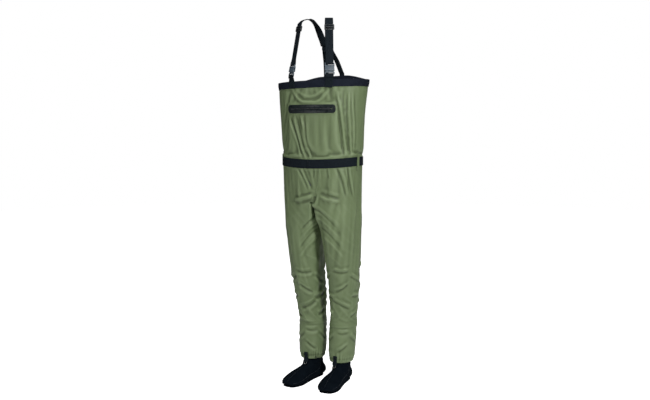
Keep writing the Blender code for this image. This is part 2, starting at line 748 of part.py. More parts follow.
def build_prongs(name, matrix, slot_width, slot):
    """The half of a side-release buckle with two spring arms and a guide, which points up its own Z."""
    half = slot_width / 2 + 0.0036
    arm = slot_width / 2 - 0.0012
    outline = [(-half, -0.0170), (half, -0.0170), (half, -0.0060), (arm, -0.0020)]
    outline += [(arm, 0.0160), (arm - 0.0025, 0.0190), (arm - 0.0045, 0.0160), (arm - 0.0045, 0.0010)]
    outline += [(0.0030, 0.0010), (0.0030, 0.0160), (0.0, 0.0185)]
    outline += [(-0.0030, 0.0160), (-0.0030, 0.0010), (-arm + 0.0045, 0.0010), (-arm + 0.0045, 0.0160)]
    outline += [(-arm + 0.0025, 0.0190), (-arm, 0.0160), (-arm, -0.0020), (-half, -0.0060)]
    prongs = plate(name, outline, 0.0042, slot)
    prongs.matrix_world = matrix
    boolean(prongs, "DIFFERENCE", [((slot_width, 0.0120, 0.0042), (0, 0, -0.0113))], matrix)
    return prongs


def strap_axes(side):
    """Across the strap, out from the chest, and up the straight front run."""
    forward = Vector((side * math.sin(STRAP_TURN), -math.cos(STRAP_TURN), 0))
    across = Vector((math.cos(STRAP_TURN), side * math.sin(STRAP_TURN), 0))
    up = (Vector((0, 0, 1)) - forward * RUN_SLOPE).normalized()
    away = up.cross(across) * -1
    return forward, across, away, up


def strap_point(side, reach, z):
    """A point in a strap's upright plane: reach is the distance forward from the cross patch."""
    forward, *_ = strap_axes(side)
    return Vector((0, CROSS_Y, 0)) + forward * reach + Vector((0, 0, z))


def buckle_matrix(side):
    """Frame at the mouth of a suspender buckle: X across, Y out from the chest, Z up the strap."""
    _, across, away, up = strap_axes(side)
    reach = HEM_REACH - RUN_SLOPE * (BUCKLE_Z - FRONT_HEM_Z - HEM_HEIGHT)
    matrix = Matrix((across, away, up)).transposed().to_4x4()
    if matrix.determinant() < 0:
        matrix = Matrix((-across, away, up)).transposed().to_4x4()
    matrix.translation = strap_point(side, reach, BUCKLE_Z)
    return matrix


def fold(centre, low_turn, high_turn):
    """Points round a buckle bar, in the strap's own (out, up) plane."""
    points = []
    for turn in spread(low_turn, high_turn, 7):
        turn = math.radians(turn)
        points.append((FOLD_RADIUS * math.cos(turn), centre + FOLD_RADIUS * math.sin(turn)))
    return points


def build_front_tab(side, name):
    """Webbing sewn over the hem band that turns round the bar of the prongs."""
    matrix = buckle_matrix(side)
    _, across, _, _ = strap_axes(side)
    local = [(0.0019, -0.0300), (0.0034, -0.0230)]
    local += fold(-0.0152, 0, 180) + [(-0.0034, -0.0230), (-0.0016, -0.0300)]
    stations = [(matrix @ Vector((0, out, up)), across) for out, up in local]
    turn = -math.pi / 2 + side * 0.42
    sewn = ((1.4080, 0.60, 0.0052), (1.3960, 0.42, 0.0036), (1.3830, 0.40, 0.0032), (1.3700, 0.40, 0.0032))
    for z, turned, out in sewn:
        point = torso_point(turn, z, out)
        angle = STRAP_TURN * turned
        stations.append((point, Vector((math.cos(angle), side * math.sin(angle), 0))))
    webbing(name + "_front_tab", stations, STRAP_WIDTH, WEBBING, "black_webbing")


def build_front_strap(side, name, socket):
    """Webbing from the tail's end down to the socket's bar, back up under the tail and on to the shoulder."""
    matrix = buckle_matrix(side)
    _, across, _, _ = strap_axes(side)
    tail = [(LAYER, up) for up in (0.2220, 0.1500, 0.1000, 0.0600)] + [(FOLD_RADIUS, 0.0380)]
    main = [(-FOLD_RADIUS, 0.0380)] + [(-LAYER, up) for up in (0.0600, 0.1000, 0.1500, 0.2180)]
    local = tail + fold(0.0317, 0, -180)[1:-1] + main
    stations = [(matrix @ Vector((0, out, up)), across) for out, up in local]
    stations += [(strap_point(side, reach, z), across) for reach, z in SHOULDER_FRONT]
    attach(socket, webbing(name + "_front_strap", stations, STRAP_WIDTH, WEBBING, "black_webbing"))


def build_shoulder_strap(side, name):
    """From its lap under the end of the front strap, over the shoulder and down to the cross patch."""
    stations = []
    for reach, z in SHOULDER_BACK:
        near = smooth((0.075 - reach) / 0.037)
        angle = STRAP_TURN * (1 - near)
        point = strap_point(side, reach, z) + Vector((0, side * 0.0013 * near, 0))
        stations.append((point, Vector((math.cos(angle), side * math.sin(angle), 0))))
    webbing(name + "_shoulder_strap", stations, STRAP_WIDTH, WEBBING, "black_webbing")


def cut_corners(half_w, half_h, cut):
    """A rectangle's outline with its corners cut off."""
    lower = [(-half_w, -half_h + cut), (-half_w + cut, -half_h)]
    lower += [(half_w - cut, -half_h), (half_w, -half_h + cut)]
    return lower + [(-x, -z) for x, z in lower]


def build_adjuster(side, name):
    """A sleeve round both layers of the front strap, with two windows in its face."""
    matrix = buckle_matrix(side) @ Matrix.Translation((0, 0, ADJUSTER_AT))
    half_w, half_h = STRAP_WIDTH / 2 + 0.0045, 0.0120
    outline = cut_corners(half_w, half_h, 0.002)
    adjuster = plate(name + "_strap_adjuster", outline, 0.0076, "black_plastic")
    adjuster.matrix_world = matrix
    cuts = [
        ((STRAP_WIDTH + 0.0010, 0.0048, 0.0400), (0, 0, 0)),
        ((STRAP_WIDTH - 0.003, 0.0060, 0.0060), (0, 0.0045, 0.0055)),
        ((STRAP_WIDTH - 0.003, 0.0060, 0.0060), (0, 0.0045, -0.0055)),
    ]
    boolean(adjuster, "DIFFERENCE", cuts, matrix)


def build_cross_back():
    """The patch over the strap ends and the two elastics that run down to the back hem."""
    half_w, half_h = 0.0285, 0.0210
    outline = cut_corners(half_w, half_h, 0.008)
    patch = plate("cross_patch", outline, 0.0016, "black_webbing")
    patch.matrix_world = Matrix.Translation((0, CROSS_Y - 0.0050, CROSS_Z - 0.003))
    for side, name in ((1, "left"), (-1, "right")):
        across = Vector((1, 0, 0))
        stations = [(Vector((side * 0.0136, CROSS_Y - 0.0016, CROSS_Z - 0.0040)), across)]
        stations.append((Vector((side * 0.0170, CROSS_Y + 0.0020, CROSS_Z - 0.0220)), across))
        stations.append((Vector((side * 0.0290, 0.0740, 1.5000)), across))
        stations.append((Vector((side * 0.0390, 0.0975, 1.4520)), across))
        for z in (1.4420, 1.4270, 1.4120):
            point = torso_point(math.pi / 2 - side * 0.190, z, 0.0029)
            stations.append((Vector((side * 0.0415, point.y + 0.0004, z)), across))
        webbing(name + "_back_elastic", stations[::-1], ELASTIC_WIDTH, WEBBING, "black_webbing")


def build_suspender(side, name):
    matrix = buckle_matrix(side)
    build_prongs(name + "_buckle_prongs", matrix, STRAP_WIDTH + 0.0008, "buckle_plastic")
    socket = build_socket(name + "_buckle_socket", matrix, STRAP_WIDTH + 0.0008, "buckle_plastic")
    build_front_tab(side, name)
    build_front_strap(side, name, socket)
    build_shoulder_strap(side, name)
    build_adjuster(side, name)


def stand_on_origin():
    """Moves the assembly so that the middle of its footprint is over the origin."""
    bpy.context.view_layer.update()
    for collection in (parts, helpers):
        for obj in (o for o in collection.objects if o.parent is None):
            obj.matrix_world = Matrix.Translation((0, STANCE_SHIFT, 0)) @ obj.matrix_world


clear_scene()
parts = bpy.data.collections.new("chest_waders")
helpers = bpy.data.collections.new("cutters")
bpy.context.scene.collection.children.link(parts)
bpy.context.scene.collection.children.link(helpers)
materials = make_materials()
build_torso()
build_zip()
build_zip_slider()
build_pocket_bag()
build_belt()
build_cross_back()
for wearer_side, wearer_name in ((1, "left"), (-1, "right")):
    build_leg(wearer_side, wearer_name)
    build_sock(wearer_side, wearer_name)
    build_sole(wearer_side, wearer_name)
    build_hook_tab(wearer_side, wearer_name)
    build_suspender(wearer_side, wearer_name)
stand_on_origin()
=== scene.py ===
"""The looks of the chest waders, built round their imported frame.

The wearer faces -Y, +X is the wearer's left and side +1 is the wearer's left. Shapes are worked out in the
wearer's own frame, whose origin is under the hips, and STANCE_SHIFT carries them into the shared frame.
"""

import json
import math

import bmesh
import bpy
import numpy as np
from mathutils import Matrix, Vector
from mathutils.bvhtree import BVHTree
from mathutils.kdtree import KDTree

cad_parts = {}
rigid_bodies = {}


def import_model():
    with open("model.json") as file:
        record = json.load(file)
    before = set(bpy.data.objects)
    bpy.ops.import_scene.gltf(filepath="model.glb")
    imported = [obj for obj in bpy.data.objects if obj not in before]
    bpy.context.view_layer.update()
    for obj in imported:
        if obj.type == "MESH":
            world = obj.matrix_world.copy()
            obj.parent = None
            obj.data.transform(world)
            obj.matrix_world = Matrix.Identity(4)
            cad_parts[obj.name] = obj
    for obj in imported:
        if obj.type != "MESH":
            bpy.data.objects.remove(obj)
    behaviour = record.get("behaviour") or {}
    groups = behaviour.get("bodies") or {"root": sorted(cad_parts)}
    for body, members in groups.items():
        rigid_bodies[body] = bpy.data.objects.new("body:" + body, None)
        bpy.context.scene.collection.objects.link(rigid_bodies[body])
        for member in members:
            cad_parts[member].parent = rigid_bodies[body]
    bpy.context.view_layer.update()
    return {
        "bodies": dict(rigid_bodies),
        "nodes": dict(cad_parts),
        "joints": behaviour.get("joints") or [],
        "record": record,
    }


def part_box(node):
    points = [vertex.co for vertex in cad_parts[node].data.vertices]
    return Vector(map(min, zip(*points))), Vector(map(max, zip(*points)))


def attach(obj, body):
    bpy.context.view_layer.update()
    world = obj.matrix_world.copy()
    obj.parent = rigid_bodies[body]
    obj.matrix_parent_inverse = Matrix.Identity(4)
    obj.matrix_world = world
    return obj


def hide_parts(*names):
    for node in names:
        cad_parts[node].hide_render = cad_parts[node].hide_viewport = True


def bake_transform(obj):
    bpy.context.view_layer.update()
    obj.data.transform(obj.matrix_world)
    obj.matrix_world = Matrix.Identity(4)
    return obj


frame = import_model()

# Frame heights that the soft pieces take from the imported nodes.
GUARD_TOP_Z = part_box("left_leg")[0].z
GUARD_HEM_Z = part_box("left_gravel_guard")[0].z
FRONT_HEM_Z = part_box("front_torso_panel")[1].z
HEM_HEIGHT = 0.033
BACK_RISE = 0.031
HEM_TILT = 0.012
SHELL_UNDER_HEM = 0.0035
BELT_LOW_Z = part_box("right_belt_end_loop")[0].z
BELT_HIGH_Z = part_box("right_belt_end_loop")[1].z
BELT_Z = (BELT_LOW_Z + BELT_HIGH_Z) / 2
BELT_HEIGHT = BELT_HIGH_Z - BELT_LOW_Z
BELT_SAG = 0.012
CROTCH_Z = 0.860
STANCE_SHIFT = 0.0296

# Torso: height, half width, depth in front, depth behind, centre y.
TORSO = (
    (0.840, 0.1900, 0.1220, 0.1220, -0.010),
    (0.950, 0.1905, 0.1250, 0.1250, -0.014),
    (1.040, 0.1910, 0.1250, 0.1240, -0.014),
    (1.120, 0.1950, 0.1280, 0.1200, -0.013),
    (1.200, 0.1995, 0.1300, 0.1120, -0.012),
    (1.280, 0.2050, 0.1330, 0.1080, -0.010),
    (1.360, 0.2150, 0.1350, 0.1020, -0.003),
    (1.410, 0.2230, 0.1350, 0.1000, 0.000),
    (1.460, 0.2260, 0.1350, 0.1000, 0.000),
)
# Leg: height, half width, half depth, centre y, centre x.
LEG = (
    (0.080, 0.0490, 0.0605, 0.032, 0.0760),
    (0.100, 0.0520, 0.0620, 0.032, 0.0765),
    (0.140, 0.0600, 0.0670, 0.034, 0.0780),
    (0.220, 0.0630, 0.0700, 0.038, 0.0800),
    (0.280, 0.0630, 0.0700, 0.044, 0.0815),
    (0.400, 0.0680, 0.0760, 0.041, 0.0865),
    (0.550, 0.0770, 0.0900, 0.020, 0.0930),
    (0.700, 0.0850, 0.1040, -0.002, 0.0955),
    (0.840, 0.0930, 0.1220, -0.010, 0.0955),
    (0.900, 0.0930, 0.1220, -0.010, 0.0955),
)
# Inner shin, under the gravel guard: the same five values.
SHIN = (
    (0.138, 0.0465, 0.0550, 0.0330, 0.0765),
    (0.170, 0.0480, 0.0560, 0.0350, 0.0780),
    (0.220, 0.0560, 0.0630, 0.0380, 0.0800),
    (0.300, 0.0590, 0.0665, 0.0440, 0.0825),
)
TORSO_POWER = 2.3
LEG_POWER = 2.1
CROTCH_MORPH = 0.13
INSEAM_HALF_GAP = 0.0015

# Chest zip: its track is an arc about an upright axis behind the chest.
ZIP_Z = 1.2765
ZIP_SHIFT = 0.006
ZIP_RADIUS = 0.397
ZIP_AXIS_Y = 0.2526
ZIP_FRAME = (0.242, 0.038)
ZIP_MOUTH = (0.212, 0.013)

# Webbing, suspenders and belt.
WEBBING = 0.0014
STRAP_TURN = math.radians(30)
STRAP_WIDTH = 0.035
ELASTIC_WIDTH = 0.025
CROSS_Y = 0.040
CROSS_Z = 1.566
HEM_REACH = 0.199
RUN_SLOPE = 0.195
BUCKLE_Z = 1.443
ADJUSTER_AT = 0.197
FOLD_RADIUS = 0.0038
LAYER = 0.00125
BELT_CLEAR = 0.0020
BELT_BAR_X = 0.02345
BELT_BAR_OUT = 0.0085
SHOULDER_FRONT = ((0.1425, 1.6680), (0.1330, 1.6755), (0.1180, 1.6815))
SHOULDER_BACK = (
    (0.1270, 1.6758),
    (0.1180, 1.6794),
    (0.1090, 1.6818),
    (0.1000, 1.6828),
    (0.0840, 1.6775),
    (0.0680, 1.6630),
    (0.0520, 1.6400),
    (0.0380, 1.6120),
    (0.0270, 1.5880),
    (0.0200, 1.5680),
)

# Sock rings: forward and height of the top point, the same of the low point, half width.
SOCK_RINGS = (
    (0.1240, 0.1560, 0.0240, 0.1560, 0.043),
    (0.1245, 0.1220, 0.0215, 0.1180, 0.042),
    (0.1270, 0.1000, 0.0195, 0.0900, 0.041),
    (0.1310, 0.0870, 0.0105, 0.0620, 0.040),
    (0.1380, 0.0790, 0.0020, 0.0360, 0.040),
    (0.1470, 0.0735, 0.0090, 0.0130, 0.039),
    (0.1580, 0.0700, 0.0450, 0.0048, 0.038),
    (0.1750, 0.0655, 0.1150, 0.0048, 0.041),
    (0.2000, 0.0585, 0.1800, 0.0048, 0.047),
    (0.2280, 0.0500, 0.2250, 0.0048, 0.050),
    (0.2560, 0.0405, 0.2580, 0.0058, 0.046),
    (0.2770, 0.0315, 0.2800, 0.0090, 0.034),
    (0.2870, 0.0240, 0.2880, 0.0150, 0.018),
)
SOCK_TOE = (0.2905, 0.0195)
SOCK_POWER = 2.15
SOCK_FLOOR_POWER = 5.0
SOLE_OUTLINE = (
    (0.010, 0.010),
    (0.018, 0.022),
    (0.035, 0.030),
    (0.070, 0.033),
    (0.120, 0.034),
    (0.170, 0.040),
    (0.215, 0.045),
    (0.245, 0.042),
    (0.268, 0.032),
    (0.280, 0.018),
)
ANKLE_BEHIND = 0.075
TOE_OUT = math.radians(6)

# How finely the shell is divided.
TORSO_COLUMNS = 352
TORSO_ROWS = 160
MIDLINE_POINTS = 36
LEG_ROWS = 216
FABRIC = 0.0007
# The cloth simulation: spare length as a share, frames, and the furthest that a point may move.
DRAPE_EASE = 0.025
DRAPE_FRAMES = 24
DRAPE_CAP = 0.008
# Its movement is carried over from this many nearby points, weighted by this distance, with the legs moved
# this far apart.
DRAPE_NEIGHBOURS = 8
DRAPE_REACH = 0.008
LEGS_APART = 0.08
# How strongly a surface has to bend before it counts as a full crest or hollow.
FULL_BEND = 0.0004
# How far the zip holds the cloth still from its middle: along and up.
ZIP_HOLD = (0.116, 0.017)

# Folds that repeat: how many, where they start and how far apart they are.
KNEE_ROWS, KNEE_TOP_Z, KNEE_PITCH = 6, 0.540, 0.041
GUARD_ROWS, GUARD_ROW_TOP_Z, GUARD_PITCH = 3, 0.245, 0.038
THIGH_FOLDS = 4


def fanned(count, top, foot, width, rise, lean):
    """Folds side by side. Top and foot each hold the first angle, the last angle and a height."""
    folds = []
    for k in range(count):
        share = k / max(count - 1, 1)
        high = top[0] + share * (top[1] - top[0])
        low = foot[0] + share * (foot[1] - foot[0])
        middle = (high + low) / 2 + 3 * math.sin(2.4 * k + 1)
        marks = ((high, top[2]), (middle, (top[2] + foot[2]) / 2), (low, foot[2]))
        folds.append((marks, width, rise if k % 2 == 0 else -0.5 * rise, lean))
    return folds


def swags(count, centre, reach, top, width, rise):
    """Shallow hanging curves, one below another."""
    folds = []
    for k in range(count):
        half = reach * (1 + 0.25 * k)
        foot = top - 0.038 - 0.025 * k
        marks = ((centre - half, top), (centre - half / 2, foot + 0.010), (centre, foot))
        marks += ((centre + half / 2, foot + 0.010), (centre + half, top))
        folds.append((marks, width, rise, 0.6))
    return folds


def lap_folds():
    """Creases that meet where the rise seam ends: a valley below, and ridges out to each thigh."""
    star = CROTCH_Z + 0.030
    folds = [(((-82, star + 0.015), (-86, star - 0.020), (-90, star - 0.045)), 0.009, -0.010, 0.3)]
    for way in (-1, 1):
        for drop, rise in ((0.0, 0.0085), (-0.014, -0.0040)):
            path = ((4, 0.0), (20, 0.013), (38, 0.024))
            marks = [(-82 + way * turn, star - drop - fall) for turn, fall in path]
            folds.append((marks, 0.010, rise, 0.6))
    return folds


def buckled(rows, top, pitch, width, rise):
    """Short folds round a leg in staggered rows, as a tube of cloth buckles when it is pushed down."""
    folds = []
    for row in range(rows):
        for place in range(3):
            centre = -90 + 60 * (row % 2) + 120 * place
            z = top - row * pitch
            tilt = 0.026 * math.sin(2.1 * row + 1.3 * place)
            half = 30 + 7 * math.sin(1.9 * row + place)
            marks = ((centre - half, z + tilt), (centre, z - 0.006), (centre + half, z - tilt))
            folds.append((marks, width, -rise, 0.7))
            ridge = tuple((turn + 6, height + 0.42 * pitch) for turn, height in marks)
            folds.append((ridge, width, 0.6 * rise, 0.6))
    return folds


def thigh_folds():
    """Drag lines from the crotch, down and round to the outside of the thigh."""
    folds = []
    for k in range(THIGH_FOLDS):
        z = CROTCH_Z - 0.022 - 0.042 * k
        marks = ((-160 + 6 * k, z), (-122 + 4 * k, z - 0.040), (-84 + 3 * k, z - 0.110))
        folds.append((marks, 0.009, 0.0034 if k % 2 else -0.0042, 0.6))
    return folds


# Every fold: points as (angle in degrees, height), width, rise, lean.
TORSO_FOLDS = (
    *swags(2, -90, 22, 1.370, 0.011, 0.0045),
    *fanned(5, (-122, -98, 1.256), (-99, -84, 1.040), 0.0064, -0.0060, -0.7),
    *fanned(4, (-58, -34, 1.366), (-40, -20, 1.040), 0.0060, -0.0060, 0.8),
    *fanned(4, (-116, -96, 1.046), (-92, -84, 0.910), 0.0064, -0.0038, -0.6),
    *fanned(3, (-56, -36, 1.046), (-34, -20, 0.876), 0.0060, -0.0058, 0.8),
    *fanned(3, (-86, -64, 1.040), (-86, -62, 0.960), 0.0046, -0.0032, 0.3),
    *lap_folds(),
    (((60, 1.390), (68, 1.230), (62, 1.075)), 0.0110, -0.0060, 0.7),
    (((42, 1.330), (52, 1.200), (50, 1.075)), 0.0090, -0.0045, 0.7),
    (((118, 1.390), (110, 1.240), (118, 1.075)), 0.0110, -0.0060, -0.7),
    (((140, 1.320), (130, 1.190), (134, 1.075)), 0.0090, -0.0045, -0.7),
    (((92, 1.250), (84, 1.150), (88, 1.070)), 0.0110, -0.0040, 0.6),
    (((64, 1.395), (76, 1.365), (90, 1.356), (104, 1.365), (116, 1.395)), 0.0120, 0.0040, 0.6),
    (((66, 1.010), (74, 0.950), (84, 0.892)), 0.0100, -0.0060, 0.7),
    (((114, 1.010), (106, 0.950), (96, 0.892)), 0.0100, -0.0060, -0.7),
    (((36, 1.010), (46, 0.940), (60, 0.876)), 0.0110, -0.0050, 0.7),
    (((144, 1.010), (134, 0.940), (120, 0.876)), 0.0110, -0.0050, -0.7),
    (((192, 1.340), (190, 1.210), (182, 1.080)), 0.0100, -0.0055, -0.8),
)
LEG_FOLDS = (*thigh_folds(), *buckled(KNEE_ROWS, KNEE_TOP_Z, KNEE_PITCH, 0.0085, 0.0046))
GUARD_FOLDS = tuple(buckled(GUARD_ROWS, GUARD_ROW_TOP_Z, GUARD_PITCH, 0.0080, 0.0034))
# Folds behind the knees and thighs, the same on both legs.
BACK_LEG_FOLDS = (
    (((52, 0.492), (90, 0.470), (134, 0.500)), 0.0110, -0.0085, 0.7),
    (((40, 0.430), (88, 0.448), (140, 0.436)), 0.0110, 0.0060, 0.7),
    (((58, 0.400), (94, 0.384), (128, 0.404)), 0.0110, -0.0065, 0.7),
    (((48, 0.560), (84, 0.534), (120, 0.548)), 0.0120, -0.0045, 0.6),
    (((60, 0.836), (90, 0.816), (128, 0.830)), 0.0130, -0.0070, 0.6),
    (((46, 0.780), (80, 0.752), (116, 0.764)), 0.0150, -0.0045, 0.6),
    (((60, 0.330), (100, 0.314), (140, 0.334)), 0.0110, 0.0055, 0.7),
)


# --- Numbers and grids ---------------------------------------------------------------------------------


def smooth(u):
    u = np.clip(u, 0, 1)
    return u * u * (3 - 2 * u)


def section(stations, z):
    """The section values at each height z, on a smooth curve through the stations."""
    table = np.array(stations)
    z = np.asarray(z, float)
    last = len(table) - 1
    k = np.clip(np.searchsorted(table[:, 0], z, side="right") - 1, 0, last - 1)
    low, high = table[k], table[k + 1]
    before, after = table[np.maximum(k - 1, 0)], table[np.minimum(k + 2, last)]
    span = high[..., :1] - low[..., :1]
    u = (z[..., None] - low[..., :1]) / span
    rise_low = span * (high - before) / (high[..., :1] - before[..., :1])
    rise_high = span * (after - low) / (after[..., :1] - low[..., :1])
    value = low + (high - low) * u * u * (3 - 2 * u)
    value = value + rise_low * u * (1 - u) ** 2 - rise_high * u * u * (1 - u)
    return np.moveaxis(value[..., 1:], -1, 0)


def torso_points(t, z, out=0.0):
    """Points on the torso at angles t (0 is the wearer's left side) and heights z, moved outwards."""
    t, z, out = np.broadcast_arrays(np.asarray(t, float), np.asarray(z, float), np.asarray(out, float))
    half_width, front, back, centre = section(TORSO, z)
    c, s = np.cos(t), np.sin(t)
    r = (np.abs(c) ** TORSO_POWER + np.abs(s) ** TORSO_POWER) ** (-1 / TORSO_POWER)
    depth = np.where(s < 0, front, back)
    return np.stack([(half_width + out) * r * c, centre + (depth + out) * r * s, z], -1)


def crotch_reach(t, out):
    """Distance from a leg's centre to its half of the torso outline, cut off at the middle plane."""
    half_width, front, back, centre = section(TORSO, CROTCH_Z)
    leg_y, leg_x = section(LEG, CROTCH_Z)[2:]
    c, s = np.cos(t), np.sin(t)
    depth = np.where(s < 0, front, back)
    near, far = np.zeros_like(t), np.full_like(t, 0.3)
    for _ in range(30):
        reach = (near + far) / 2
        x = np.abs(leg_x + reach * c) / (half_width + out)
        y = np.abs(leg_y - centre + reach * s) / (depth + out)
        inside = x**TORSO_POWER + y**TORSO_POWER < 1
        near, far = np.where(inside, reach, near), np.where(inside, far, reach)
    cut = (leg_x - INSEAM_HALF_GAP + out) / np.maximum(-c, 1e-6)
    return np.where(c < 0, np.minimum(near, cut), near)


def leg_points(side, t, z, out=0.0, stations=LEG):
    """Points on a leg at angles t (0 is the outer side) and heights z, moved outwards."""
    t, z, out = np.broadcast_arrays(np.asarray(t, float), np.asarray(z, float), np.asarray(out, float))
    half_width, half_depth, centre_y, centre_x = section(stations, z)
    c, s = np.cos(t), np.sin(t)
    across = np.abs(c / (half_width + out)) ** LEG_POWER
    deep = np.abs(s / (half_depth + out)) ** LEG_POWER
    reach = (across + deep) ** (-1 / LEG_POWER)
    morph = smooth((CROTCH_Z - z) / CROTCH_MORPH)
    reach = reach * morph + crotch_reach(t, out) * (1 - morph)
    return np.stack([side * (centre_x + reach * c), centre_y + reach * s, z], -1)


def hem_foot(t):
    """The height of the hem band's foot: higher behind, and lower on the wearer's right."""
    lift = np.where(np.sin(t) > 0, BACK_RISE * smooth((1 - np.abs(np.cos(t))) / 0.75), 0.0)
    return FRONT_HEM_Z + lift - HEM_TILT * (1 - np.cos(t)) / 2


def belt_middle(t):
    """The height of the belt's middle line, which sags in front."""
    return BELT_Z - BELT_SAG * np.clip(-np.sin(t), 0, 1) ** 2


def curve_through(points, step):
    """A smooth line through the points, with a point about every step."""
    points = np.array(points, float)
    if len(points) == 2:
        count = max(2, int(np.linalg.norm(points[1] - points[0]) / step) + 1)
        return points[0] + (points[1] - points[0]) * np.linspace(0, 1, count)[:, None]
    padded = np.vstack([2 * points[0] - points[1], points, 2 * points[-1] - points[-2]])
    line = []
    for a, b, c, d in zip(padded, padded[1:], padded[2:], padded[3:]):
        count = max(1, int(np.linalg.norm(c - b) / step))
        u = (np.arange(count) / count)[:, None]
        line.append(b + 0.5 * u * (c - a + u * (2 * a - 5 * b + 4 * c - d + u * (3 * (b - c) + d - a))))
    line.append(points[-1:])
    return np.vstack(line)


def wobble(points, size, seed):
    """Smooth noise between about -1 and 1, with bumps of about the given size."""
    rng = np.random.default_rng(seed)
    total = np.zeros(len(points))
    for _ in range(7):
        direction = rng.normal(size=3)
        direction *= 2 * math.pi / size / np.linalg.norm(direction) * rng.uniform(0.6, 1.3)
        total += np.sin(points @ direction + rng.uniform(0, 2 * math.pi))
    return total / 3.2


# --- Meshes --------------------------------------------------------------------------------------------


def placed(name, data):
    """A new object in the scene with this data."""
    obj = bpy.data.objects.new(name, data)
    bpy.context.scene.collection.objects.link(obj)
    return obj


def make_mesh(name, points, faces, material, uv=None):
    """A mesh object from points in the wearer's frame, with a UV for each point in metres."""
    points = np.asarray(points, float).reshape(-1, 3) + (0, STANCE_SHIFT, 0)
    mesh = bpy.data.meshes.new(name)
    mesh.from_pydata(points.tolist(), [], [tuple(int(i) for i in face) for face in faces])
    mesh.update()
    if uv is not None:
        layer = mesh.uv_layers.new(name="metres")
        corner = np.zeros(len(mesh.loops), np.int32)
        mesh.loops.foreach_get("vertex_index", corner)
        layer.data.foreach_set("uv", np.asarray(uv, np.float32).reshape(-1, 2)[corner].ravel())
    mesh.materials.append(material)
    mesh.shade_smooth()
    return placed(name, mesh)


def settle(obj, nodes=(), body="waders"):
    """The piece rides on its body and stands for its nodes."""
    if body:
        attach(obj, body)
    if nodes:
        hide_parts(*nodes)
    return obj


def grid_faces(rows, columns, closed):
    """Quads of a grid whose rows run upwards and whose columns run anticlockwise."""
    faces = []
    for r in range(rows - 1):
        for c in range(columns if closed else columns - 1):
            d = (c + 1) % columns
            a, b = r * columns + c, r * columns + d
            faces.append((a, b, b + columns, a + columns))
    return faces


def tube_faces(rows, columns):
    """Faces of a closed tube of rings, with a cap at each end."""
    faces = grid_faces(rows, columns, True)
    faces.append(tuple(range(columns))[::-1])
    faces.append(tuple(range((rows - 1) * columns, rows * columns)))
    return faces


def point_normals(points, faces):
    quads = np.array([face if len(face) == 4 else (*face, face[-1]) for face in faces])
    across = points[quads[:, 2]] - points[quads[:, 0]]
    up = points[quads[:, 3]] - points[quads[:, 1]]
    normal = np.cross(across, up)
    total = np.zeros_like(points)
    for k in range(4):
        np.add.at(total, quads[:, k], normal)
    return total / np.maximum(np.linalg.norm(total, axis=1), 1e-12)[:, None]


def thick_grid(name, grid, thickness, material, closed=False, uv=None):
    """A closed sheet between a grid of points and its copy moved inwards."""
    grid = np.asarray(grid, float)
    rows, columns = grid.shape[:2]
    faces = grid_faces(rows, columns, closed)
    flat = grid.reshape(-1, 3)
    normal = point_normals(flat, faces).reshape(grid.shape)
    inner = grid - normal * thickness
    count = rows * columns
    points = np.vstack([flat, inner.reshape(-1, 3)])
    faces = faces + [tuple(i + count for i in face[::-1]) for face in faces]
    for r, turned in ((0, True), (rows - 1, False)):
        for c in range(columns if closed else columns - 1):
            a, b = r * columns + c, r * columns + (c + 1) % columns
            quad = (a, b, b + count, a + count)
            faces.append(quad[::-1] if turned else quad)
    if not closed:
        for c, turned in ((0, False), (columns - 1, True)):
            for r in range(rows - 1):
                a, b = r * columns + c, (r + 1) * columns + c
                quad = (a, b, b + count, a + count)
                faces.append(quad[::-1] if turned else quad)
    if uv is None:
        around = np.linalg.norm(np.diff(grid, axis=1), axis=2).cumsum(1)
        around = np.hstack([np.zeros((rows, 1)), around])
        along = np.linalg.norm(np.diff(grid, axis=0), axis=2).cumsum(0)
        along = np.vstack([np.zeros((1, columns)), along])
        uv = np.stack([around, along], -1)
    uv = np.asarray(uv).reshape(-1, 2)
    return make_mesh(name, points, faces, material, np.vstack([uv, uv]))


def ribbon(name, stations, width, thickness, material, step=0.003, edge=0.35):
    """A strap with rounded edges along stations of centre point and direction across the width."""
    centres = np.array([p for p, _ in stations], float)
    acrosses = np.array([a for _, a in stations], float)
    joined = curve_through(np.hstack([centres, acrosses * 0.02]), step)
    line, across = joined[:, :3], joined[:, 3:]
    across = across / np.linalg.norm(across, axis=1)[:, None]
    along = np.gradient(line, axis=0)
    along /= np.linalg.norm(along, axis=1)[:, None]
    across = across - along * (across * along).sum(1)[:, None]
    across /= np.linalg.norm(across, axis=1)[:, None]
    normal = np.cross(across, along)
    half, deep = width / 2, thickness / 2
    profile = [(-half, -edge * deep), (-half + deep, -deep)]
    profile += [(x, -deep) for x in np.linspace(-half, half, 9)[1:-1]]
    profile += [(half - deep, -deep), (half, -edge * deep), (half, edge * deep), (half - deep, deep)]
    profile += [(x, deep) for x in np.linspace(half, -half, 9)[1:-1]]
    profile += [(-half + deep, deep), (-half, edge * deep)]
    profile = np.array(profile)
    points = line[:, None] + across[:, None] * profile[None, :, :1] + normal[:, None] * profile[None, :, 1:]
    rows, columns = points.shape[:2]
    faces = tube_faces(rows, columns)
    length = np.concatenate([[0], np.linalg.norm(np.diff(line, axis=0), axis=1).cumsum()])
    uv = np.stack(np.broadcast_arrays(profile[None, :, 0], length[:, None]), -1)
    obj = make_mesh(name, points.reshape(-1, 3), faces, material, uv.reshape(-1, 2))
    fix_normals(obj)
    return obj


def fix_normals(obj):
    bm = bmesh.new()
    bm.from_mesh(obj.data)
    bmesh.ops.recalc_face_normals(bm, faces=bm.faces)
    bm.to_mesh(obj.data)
    bm.free()


